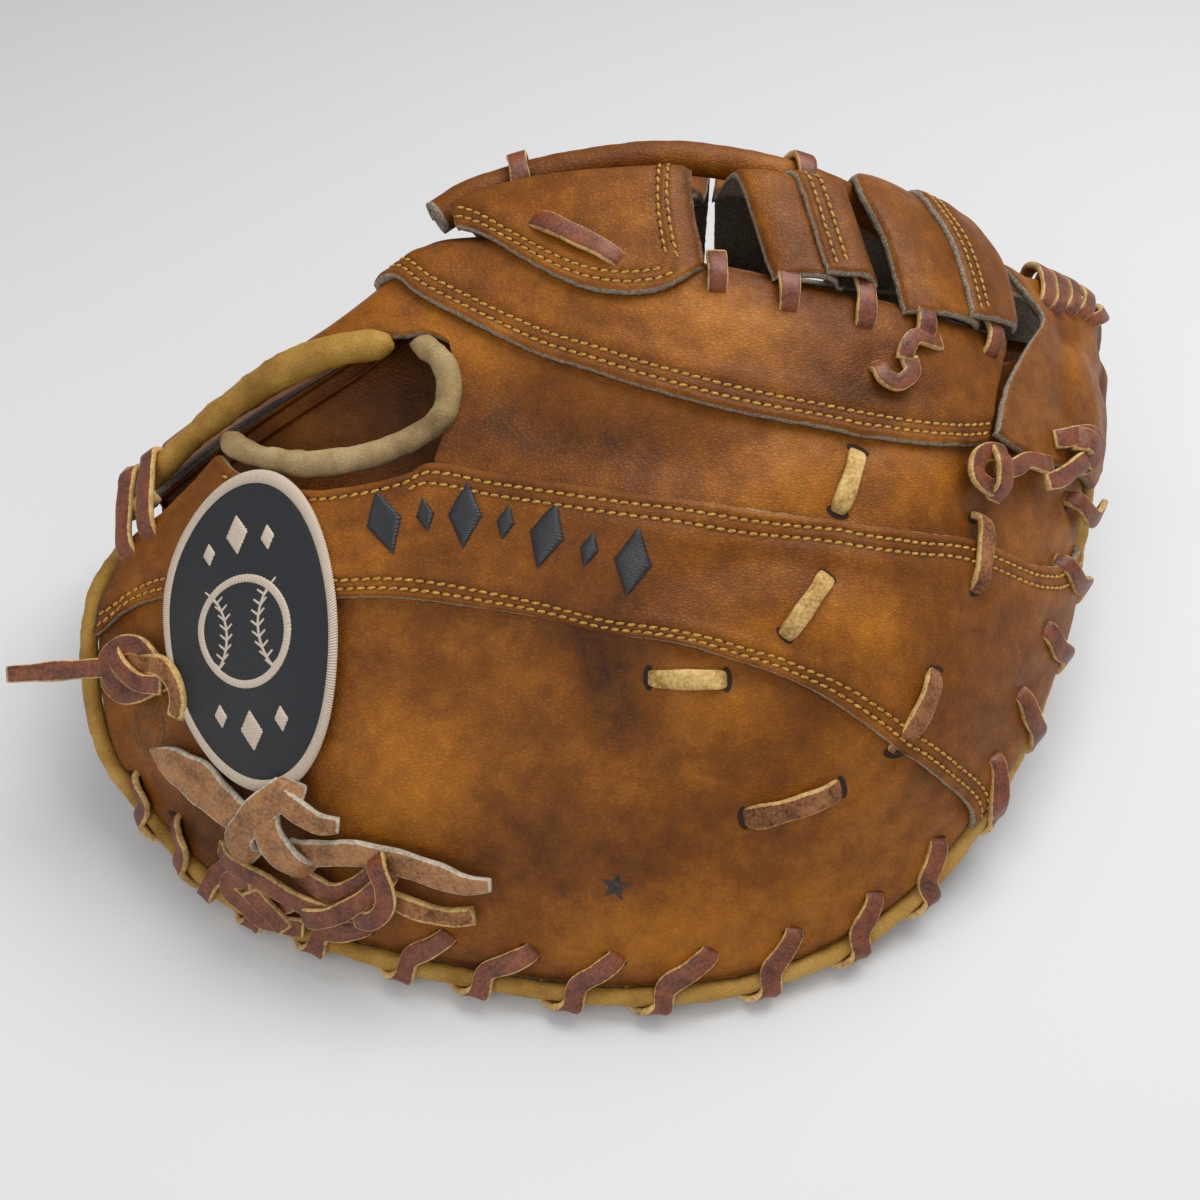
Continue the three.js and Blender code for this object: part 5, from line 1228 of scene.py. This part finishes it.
# Tie of tan lace leather at the heel: a pointed leaf-shaped tail, a long tail, and three bands of a
# flat knot, cut by hand, so the edges are grey and fibrous. Rows: along, around, lift, roll, width.
tie_leather = lace_leather(
    "tie_lace_leather_tan", ("#6e4521", "#b17c49"), ("#85796a", "#cbbfa8"), ("#6b4526", "#a67c50"), 0.5)
tie = [
    ([(-0.389, 1.69, 2.2, 0, 0.10), (-0.379, 1.70, 2.6, 0, 0.55), (-0.363, 1.71, 3.0, 0, 0.95),
      (-0.339, 1.66, 3.6, 0, 1.15), (-0.321, 1.57, 4.4, 0, 1.1), (-0.303, 1.50, 5.2, 0, 0.9),
      (-0.284, 1.46, 4.6, 0, 0.8)], 11.0),
    ([(-0.262, 1.26, 3.6, 0, 0.8), (-0.251, 1.26, 4.6, 0, 0.9), (-0.231, 1.29, 5.0, 0, 1.0),
      (-0.201, 1.32, 5.0, 0, 1.0),
      (-0.168, 1.26, 4.6, 0, 1.0), (-0.135, 1.17, 4.4, 0, 0.95), (-0.110, 1.11, 4.4, 0, 0.8),
      (-0.089, 1.13, 4.2, 0, 0.45)], 7.2),
    ([(-0.252, 1.84, 4.6, 0, 0.8), (-0.254, 1.80, 6.6, 0, 1.0), (-0.270, 1.70, 7.6, 0, 1.0),
      (-0.286, 1.53, 8.0, 0, 1.0),
      (-0.298, 1.34, 7.6, 0, 1.0), (-0.298, 1.18, 6.2, 0, 0.9), (-0.292, 1.10, 4.2, 0, 0.8)], 8.6),
    ([(-0.273, 1.60, 6.8, 0, 0.8), (-0.270, 1.48, 8.8, 0, 1.0), (-0.264, 1.36, 9.2, 0, 1.0),
      (-0.256, 1.24, 8.4, 0, 1.0),
      (-0.248, 1.14, 6.0, 0, 0.9), (-0.244, 1.10, 4.2, 0, 0.8)], 8.2),
    ([(-0.264, 1.78, 6.2, 0, 0.8), (-0.255, 1.72, 7.6, 0, 0.9), (-0.242, 1.64, 7.8, 0, 1.0),
      (-0.229, 1.57, 7.2, 0, 0.9),
      (-0.214, 1.55, 6.0, 0, 0.6)], 6.4)]
strips("tie_of_tan_leather", [ribbon(laid(rows), width=width, thickness=2.4, seed=140 + k)
                              for k, (rows, width) in enumerate(tie)], tie_leather, ["tie_thong"])

# End of the edge lace: knotted round itself on the heel, its rough side showing where it turns.
cluster = [
    [(-0.330, 0.98, 2.0), (-0.316, 0.95, 5.4), (-0.289, 0.88, 6.2), (-0.262, 0.76, 6.4),
     (-0.239, 0.66, 6.2), (-0.220, 0.64, 4.4)],
    [(-0.300, 0.74, 4.4), (-0.308, 0.68, 3.8), (-0.322, 0.52, 3.4), (-0.324, 0.37, 3.4),
     (-0.309, 0.26, 3.2),
     (-0.295, 0.16, 3.2), (-0.277, 0.17, 3.0), (-0.258, 0.19, 1.6)],
    [(-0.300, 0.62, 5.0), (-0.294, 0.47, 4.4), (-0.283, 0.30, 4.0), (-0.272, 0.14, 3.4)],
    [(-0.252, 0.50, 4.0), (-0.242, 0.57, 7.6), (-0.222, 0.69, 8.6), (-0.198, 0.89, 8.6),
     (-0.181, 1.06, 6.6), (-0.176, 1.14, 4.0)],
    [(-0.186, 1.32, 4.2), (-0.181, 1.26, 8.6), (-0.174, 1.10, 9.8), (-0.174, 0.90, 9.8),
     (-0.186, 0.75, 9.2), (-0.204, 0.70, 6.4)],
    [(-0.262, 1.01, 2.6), (-0.242, 0.95, 5.0), (-0.225, 0.89, 5.6), (-0.203, 1.00, 5.6),
     (-0.189, 1.12, 3.6)]]
strips("edge_lace_end", [ribbon(laid(rows), width=5.4, seed=160 + k)
                         for k, rows in enumerate(cluster)]
       + [ribbon(laid([(-0.196, 0.96, 2.4, 180), (-0.184, 0.92, 3.8, 180), (-0.171, 0.88, 4.0, 180),
                       (-0.149, 0.81, 3.8, 175),
                       (-0.124, 0.79, 3.4, 180), (-0.104, 0.83, 3.0, 180)]), width=5.2, seed=171)],
       brown_lace, ["edge_lace_knot"])

# Wrist knot: the lace of the wrist opening, two loops and a turned tail over each other. Its
# smooth tail stands straight out over the edge.
root = lifted(-0.430, 2.37, 6.0)
tail_way = unit(np.array([-1.0, -0.06, -0.04]))
tail_face = unit(np.array([-0.05, -0.55, 0.83]))
tail_rows = laid([(-0.416, 2.45, 4.0), (-0.430, 2.37, 6.0)])
tail_rows += [(root + tail_way * reach, tail_face, 0, share)
              for reach, share in ((6.0, 1.0), (12.0, 1.0), (18.0, 1.0), (23.5, 0.95), (27.5, 0.85))]
wrist_loops = [
    [(-0.420, 2.12, 3.0), (-0.427, 2.21, 6.2), (-0.432, 2.43, 6.8), (-0.413, 2.70, 6.8),
     (-0.394, 2.75, 6.6), (-0.385, 2.62, 4.6)],
    [(-0.424, 2.66, 4.6), (-0.418, 2.57, 8.0), (-0.402, 2.43, 8.4), (-0.386, 2.40, 8.2),
     (-0.372, 2.43, 5.4)],
    [(-0.441, 2.20, 2.2), (-0.437, 2.13, 4.2), (-0.423, 2.07, 4.4), (-0.401, 2.24, 4.4),
     (-0.375, 2.45, 4.0), (-0.368, 2.52, 2.4)]]
strips("wrist_lace_knot", [ribbon(tail_rows, width=5.2, seed=180)]
       + [ribbon(laid(rows), width=5.2, seed=181 + k) for k, rows in enumerate(wrist_loops)]
       + [ribbon(laid([(-0.424, 2.58, 3.4, 180), (-0.412, 2.58, 5.6, 180), (-0.397, 2.57, 6.0, 180),
                       (-0.372, 2.60, 6.0, 176),
                       (-0.360, 2.50, 5.4, 180), (-0.356, 2.35, 5.0, 180), (-0.359, 2.19, 4.8, 180)]),
                       width=5.6, seed=186)],
       brown_lace, ["wrist_knot"])

# Knots of the padding laces beside the finger tip: for each, its bands and their widths
TIP_KNOTS = {
    "knot_index_finger": [
        ([(0.236, 4.46, 2.2), (0.239, 4.40, 4.4), (0.240, 4.34, 4.8), (0.251, 4.31, 4.8),
          (0.264, 4.41, 4.6), (0.262, 4.52, 4.2)], 4.6),
        ([(0.258, 4.50, 4.4), (0.259, 4.58, 5.2), (0.268, 4.69, 5.0), (0.282, 4.70, 4.4),
          (0.294, 4.72, 2.8)], 4.8)],
    "knot_tip_inner": [
        ([(0.352, 3.66, 3.4), (0.345, 3.69, 4.8), (0.332, 3.74, 5.2), (0.316, 3.68, 5.0),
          (0.313, 3.58, 5.0),
          (0.325, 3.49, 4.8), (0.340, 3.44, 3.4)], 5.0),
        ([(0.340, 3.72, 5.2), (0.339, 3.64, 7.4), (0.337, 3.54, 7.6), (0.336, 3.45, 6.6),
          (0.336, 3.38, 3.4)], 5.4),
        ([(0.340, 3.55, 4.0), (0.354, 3.54, 5.6), (0.371, 3.55, 5.6), (0.388, 3.44, 5.4),
          (0.400, 3.36, 4.6)], 5.0)],
    "knot_tip_outer": [
        ([(0.412, 3.56, 3.2), (0.420, 3.49, 5.2), (0.435, 3.38, 5.8), (0.454, 3.12, 6.0),
          (0.460, 2.86, 5.8),
          (0.450, 2.80, 5.0), (0.440, 2.92, 3.6)], 5.2),
        ([(0.428, 3.42, 5.0), (0.438, 3.24, 8.0), (0.444, 3.04, 8.0), (0.442, 2.90, 5.2)], 7.0),
        ([(0.449, 3.00, 4.6), (0.438, 3.04, 6.2), (0.423, 3.11, 6.2), (0.405, 3.17, 5.8),
          (0.392, 3.24, 5.0)], 5.2)]}
for index, (name, bands) in enumerate(TIP_KNOTS.items()):
    strips(f"lace_{name}", [ribbon(laid(rows), width=width, seed=200 + 10 * index + k)
                            for k, (rows, width) in enumerate(bands)], brown_lace, [name])


# Thread work: satin stitch laid side by side over the leather, and the overlocked border of the
# label. Each thread is a ridge in the mesh.
def thread_material(name, dark, light, rough=0.5):
    material, tree, shader = new_material(name)
    twist = noise(tree, own_place(tree), 2200, 2)["Fac"]
    # Painted shade and light: each thread is coloured darker in the grooves beside it and paler on its
    # ridge.
    mixed = maths(tree, "MULTIPLY_ADD", twist, 0.5, point_value(tree, "ridge"))
    tint = blend(tree, spread(tree, mixed, 0.25, 1.15), dark, light)
    finish(tree, shader, tint, rough, twist, 0.4)
    return material


black_thread = thread_material("rayon_thread_black", "#08090b", "#2b2c30", 0.38)
cream_thread = thread_material("rayon_thread_cream", "#8f7a66", "#d9c8b4", 0.5)
label_satin, tree, shader = new_material("woven_satin_black")
warp = maths(tree, "SINE", maths(tree, "MULTIPLY", point_value(tree, "across_mm"), 14.0))
weft = maths(tree, "SINE", maths(tree, "MULTIPLY", point_value(tree, "up_mm"), 9.0))
weave = maths(tree, "MULTIPLY_ADD", weft, 0.45, warp)
finish(tree, shader, blend(tree, spread(tree, weave, -1.4, 1.4), "#08090d", "#20232a"), 0.42, weave)

# Leather that prints and threads lie on
laid_on = [pinky, strap, index_panel, web_panel, tip_cap]
leather_points, leather_faces = [], []
for one in laid_on:
    first = len(leather_points)
    leather_points.extend(vertex.co / MM for vertex in one.data.vertices)
    leather_faces.extend([first + n for n in face.vertices] for face in one.data.polygons)
leather_surface = BVHTree.FromPolygons(leather_points, leather_faces)


STEP_WIDTH = 37  # mm of one step round the finger half, about


def seated(along, around, height):
    """Points at a height in mm over the leather, and their directions out of it."""
    along, around, height = np.broadcast_arrays(*(np.asarray(v, float) for v in (along, around, height)))
    base, normals = skin(along, around), surface_normal(skin, along, around)
    points = np.empty(base.shape)
    for place in np.ndindex(along.shape):
        hit = leather_surface.ray_cast(Vector(base[place] + normals[place] * 14), Vector(-normals[place]),
                                       20)[0]
        points[place] = (base[place] if hit is None else np.array(hit)) + normals[place] * height[place]
    return points, normals


def chart(centre, across, up, turn=0.0):
    """Places on the skin that lie a number of mm along the mitt and across it from a centre."""
    along, around = centre
    step = 0.004
    a = (skin(along + step, around) - skin(along - step, around)) / (2 * step)
    v = (skin(along, around + step * 10) - skin(along, around - step * 10)) / (20 * step)
    x_way = unit(a)
    y_way = unit(v - x_way * (v @ x_way))
    c, s = math.cos(math.radians(turn)), math.sin(math.radians(turn))
    x, y = np.asarray(across) * c - np.asarray(up) * s, np.asarray(across) * s + np.asarray(up) * c
    d_around = y / (v @ y_way)
    return along + (x - d_around * (v @ x_way)) / (a @ x_way), around + d_around


def satin(name, columns, material, pitch=0.42, height=0.75, base=0.02):
    """Columns of satin stitch. A column is (centre, turn, line, half widths): the line's points and
    the half widths are in mm round the centre, and the threads run square to the line."""
    vertices, faces, ridges = [], [], []
    for centre, turn, line, halves in columns:
        line, halves = np.asarray(line, float), np.asarray(halves, float)
        reach = np.concatenate([[0], np.cumsum(np.linalg.norm(np.diff(line, axis=0), axis=1))])
        count = int(reach[-1] / pitch * 4) + 2
        t = np.linspace(0, reach[-1], count)
        path = np.stack([np.interp(t, reach, line[:, k]) for k in (0, 1)], axis=1)
        half = np.interp(t, reach, halves)
        way = unit(np.gradient(path, axis=0))
        side = np.stack([-way[:, 1], way[:, 0]], axis=1)
        thread = np.abs(np.sin(np.pi * t / pitch))
        shares = np.array([-1, -0.94, -0.7, -0.35, 0, 0.35, 0.7, 0.94, 1])
        dome = np.array([-0.3, 0.35, 0.8, 0.95, 1, 0.95, 0.8, 0.35, -0.3])
        jitter = 1 + 0.05 * np.sin(7.3 * np.floor(t / pitch) * 2.1)
        places = path[:, None] + side[:, None] * (shares * (half * jitter)[:, None])[..., None]
        along, around = chart(centre, places[..., 0], places[..., 1], turn)
        tall = base + height * dome * np.minimum(1, half[:, None] / 1.2) * (0.72 + 0.28 * thread[:, None])
        points, _ = seated(along, around, tall)
        number = len(vertices) + np.arange(count * len(shares)).reshape(count, len(shares))
        vertices.extend(points.reshape(-1, 3))
        faces.extend(quads(number)[:, ::-1].tolist())
        ridges.append((0.15 + 0.85 * thread)[:, None] * np.ones(len(shares)))
    return piece(name, vertices, faces, material, {"ridge": np.concatenate([r.ravel() for r in ridges])})


# Oval label: black satin with a cream overlocked border, sewn over the strap. A ball with two
# seams stands in its middle, between two lozenges.
LABEL = {"along": -0.295, "around": 2.88, "half_along": 47 / 2 / MITT_LENGTH, "half_around": 1.15,
         "lean": 0.012}


def label_places(angle, share):
    """Chart places on the label's oval at an angle and a share of its radius."""
    up = np.sin(angle) * share
    along = LABEL["along"] + np.cos(angle) * share * LABEL["half_along"] - LABEL["lean"] * up
    return along, LABEL["around"] + LABEL["half_around"] * up


angle = np.linspace(0, 2 * np.pi, 160, endpoint=False)[None, :]
share = np.array([0.004, 0.1, 0.2, 0.3, 0.4, 0.5, 0.6, 0.7, 0.8, 0.88, 0.93, 0.96, 0.93, 0.8, 0.4,
                  0.02])[:, None]
level = np.array([4.55] * 11 + [4.1, 3.7, 3.6, 3.6, 3.6])[:, None]
level = level + 0.25 * (1 - share ** 2) * (np.arange(16) < 11)[:, None]
along, around = label_places(angle, share)
points = lifted(along, around, level + 0 * along)
number = np.arange(points.shape[0] * 160).reshape(-1, 160)
label_faces = quads(np.concatenate([number, number[:, :1]], axis=1)).tolist()
label_faces += [number[0].tolist(), number[-1, ::-1].tolist()]
label_field = piece("label_field", points.reshape(-1, 3), label_faces, label_satin,
                    {"across_mm": along * MITT_LENGTH, "up_mm": around * STEP_WIDTH + 0 * along})
recalculate(label_field)

LABEL_THREADS = 420
turns = np.linspace(0, 2 * np.pi, LABEL_THREADS * 4, endpoint=False)
ring = np.linspace(0, 2 * np.pi, 12, endpoint=False)
ridge = np.abs(np.sin(turns / 2 * LABEL_THREADS))
across = np.cos(ring)[None, :] * (1.55 + 0.12 * ridge[:, None])
tall = 4.15 + np.sin(ring)[None, :] * (0.85 + 0.16 * ridge[:, None])
slant = (0.5 * across / 1.6) * (2 * np.pi / LABEL_THREADS)
along, around = label_places(turns[:, None] + slant, 0.955 + across / 33.0)
points = lifted(along, around, tall)
number = np.arange(points.shape[0] * 12).reshape(-1, 12)
closed = np.vstack([number, number[:1]])
closed = np.concatenate([closed, closed[:, :1]], axis=1)
label_border = piece("label_border", points.reshape(-1, 3), quads(closed).tolist(), cream_thread,
                     {"ridge": np.repeat(ridge, 12)})
recalculate(label_border)
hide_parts("label_patch")

label_points = [Vector(v.co) / MM for v in label_field.data.vertices]
leather_surface = BVHTree.FromPolygons(label_points, [list(f.vertices) for f in label_field.data.polygons])
label_middle = (LABEL["along"], LABEL["around"])
full = np.linspace(0, 2 * np.pi, 61)
BALL = 13.0
ball = [(label_middle, 0, np.stack([BALL * np.cos(full), BALL * np.sin(full)], 1), [1.0] * 61)]
for side in (-1, 1):
    bow = np.linspace(-0.86, 0.86, 15)
    seam = np.stack([side * (BALL * 1.32 - 12.4 * np.cos(bow)), BALL * 1.02 * np.sin(bow)], 1)
    ball.append((label_middle, 0, seam, [0.35] * 15))
    for k in np.arange(1, 14, 1.6):
        spot = np.array([np.interp(k, np.arange(15), seam[:, axis]) for axis in (0, 1)])
        for reach in (-1, 1):
            ball.append((label_middle, 0, [spot, spot + (reach * 1.9, 1.5)], [0.34, 0.24]))
for up in (-1, 1):
    for offset, half in ((0, 3.4), (-9.0, 2.0), (9.0, 2.0)):
        middle = np.array([offset, up * (24.5 - abs(offset) * 0.35)])
        ball.append((label_middle, 0, [middle - (0, half * 1.5), middle, middle + (0, half * 1.5)],
                     [0.15, half, 0.15]))
satin("label_ball", ball, cream_thread, pitch=0.45, height=0.45)
leather_surface = BVHTree.FromPolygons(leather_points, leather_faces)

# Embroidery on the strap: a row of black lozenges, large and small by turns
row_start, row_end = np.array((-0.189, 3.33)), np.array((0.036, 3.11))
lozenges = []
for index, place in enumerate(np.linspace(0.04, 0.96, 7)):
    centre = tuple(row_start + (row_end - row_start) * place)
    tall, wide = ((8.4, 4.6), (4.2, 2.4))[index % 2]
    lozenges.append((centre, -4, [(0, -tall), (0, 0), (0, tall)], [0.2, wide, 0.2]))
satin("strap_embroidery", lozenges, black_thread, height=0.9)


# Prints: a black foil star and a brown ring stamp, a few hundredths of a millimetre thick
def printed(name, material, shapes, height=0.06):
    """Flat shapes on the leather; each is (centre, turn, grid of (x, y) in mm round the centre)."""
    vertices, faces = [], []
    for centre, turn, grid in shapes:
        grid = np.asarray(grid, float)
        along, around = chart(centre, grid[..., 0], grid[..., 1], turn)
        points, _ = seated(along, around, height)
        number = len(vertices) + np.arange(grid.shape[0] * grid.shape[1]).reshape(grid.shape[:2])
        vertices.extend(points.reshape(-1, 3))
        faces.extend(quads(number).tolist())
    return piece(name, vertices, faces, material)


def ink(name, dark, light):
    """Print worn away in specks."""
    material, tree, shader = new_material(name)
    speck = noise(tree, own_place(tree), 900, 4)["Fac"]
    finish(tree, shader, blend(tree, spread(tree, speck, 0.42, 0.70), dark, light), 0.5)
    return material


points_of_star = [(math.sin(k * math.pi / 5), math.cos(k * math.pi / 5)) for k in range(11)]
rim_of_star = np.array([np.array(p) * (4.1 if k % 2 == 0 else 1.7) for k, p in enumerate(points_of_star)])
fine = np.concatenate([np.linspace(rim_of_star[k], rim_of_star[k + 1],
                                   5)[:-1] for k in range(10)] + [rim_of_star[:1]])
star = np.stack([fine * share for share in (1.0, 0.75, 0.5, 0.25, 0.01)])
printed("star_print", ink("foil_print_black", "#17130f", "#4a331c"), [((0.013, 1.19), -8, star)])

around_ring = np.linspace(0, 2 * np.pi, 73)
circle = np.stack([np.sin(around_ring), np.cos(around_ring)], axis=1)
rings = [np.stack([circle * outer, circle * inner]) for outer,
         inner in ((7.1, 6.6), (4.5, 4.2), (1.3, 0.05))]
ticks = []
for k in range(20):
    turn = 2 * np.pi * k / 20
    wide = 0.09 if k % 2 else 0.045
    ticks.append(np.array([[(r * math.sin(turn + s * wide),
                             r * math.cos(turn + s * wide)) for s in (-1, 1)] for r in (6.0, 5.1)]))
printed("ring_stamp", ink("stamp_ink_brown", "#4b2c12", "#8a5a28"),
        [((-0.404, 1.74), 0, grid) for grid in rings + ticks])

# Slots that the laces go through: dark discs of painted shade, a little stretched
slot_rim = np.stack([3.2 * np.cos(np.linspace(0, 2 * np.pi, 25)),
                     1.5 * np.sin(np.linspace(0, 2 * np.pi, 25))], axis=1)
slot = np.stack([slot_rim, 0.02 * slot_rim])
runs = [(start, end) for _, start, end, *_ in PAD_LACES] + [(end, start) for _, start, end, *_ in PAD_LACES]
runs += [((hole_along, hole_around), (welt_along, 0)) for hole_along, hole_around, welt_along,
         _ in FINGER_LACES]
slots = []
for (a0, v0), (a1, v1) in runs:
    turn = math.degrees(math.atan2((v1 - v0) * STEP_WIDTH, (a1 - a0) * MITT_LENGTH)) + 90
    slots.append(((a0, v0), turn, slot))
printed("lace_slot_painted_shade", painted_hole_shade, slots, height=0.12)

# Padding of cream suede that shows between the slit laces
tube("wrist_padding",
     lifted([-0.396, -0.408, -0.420, -0.432], [4.25, 4.30, 4.28, 4.22], [0.6, 1.6, 1.6, 0.4]), 2.4,
     tanned_leather("padding_suede_cream", "#d8bd8c", "#bd9c66", "#8a6b3d", ("#d8bd8c", "#8a6b3d"),
                    gloss=0.8), [])

sew("seam_stitches", seam_lines)
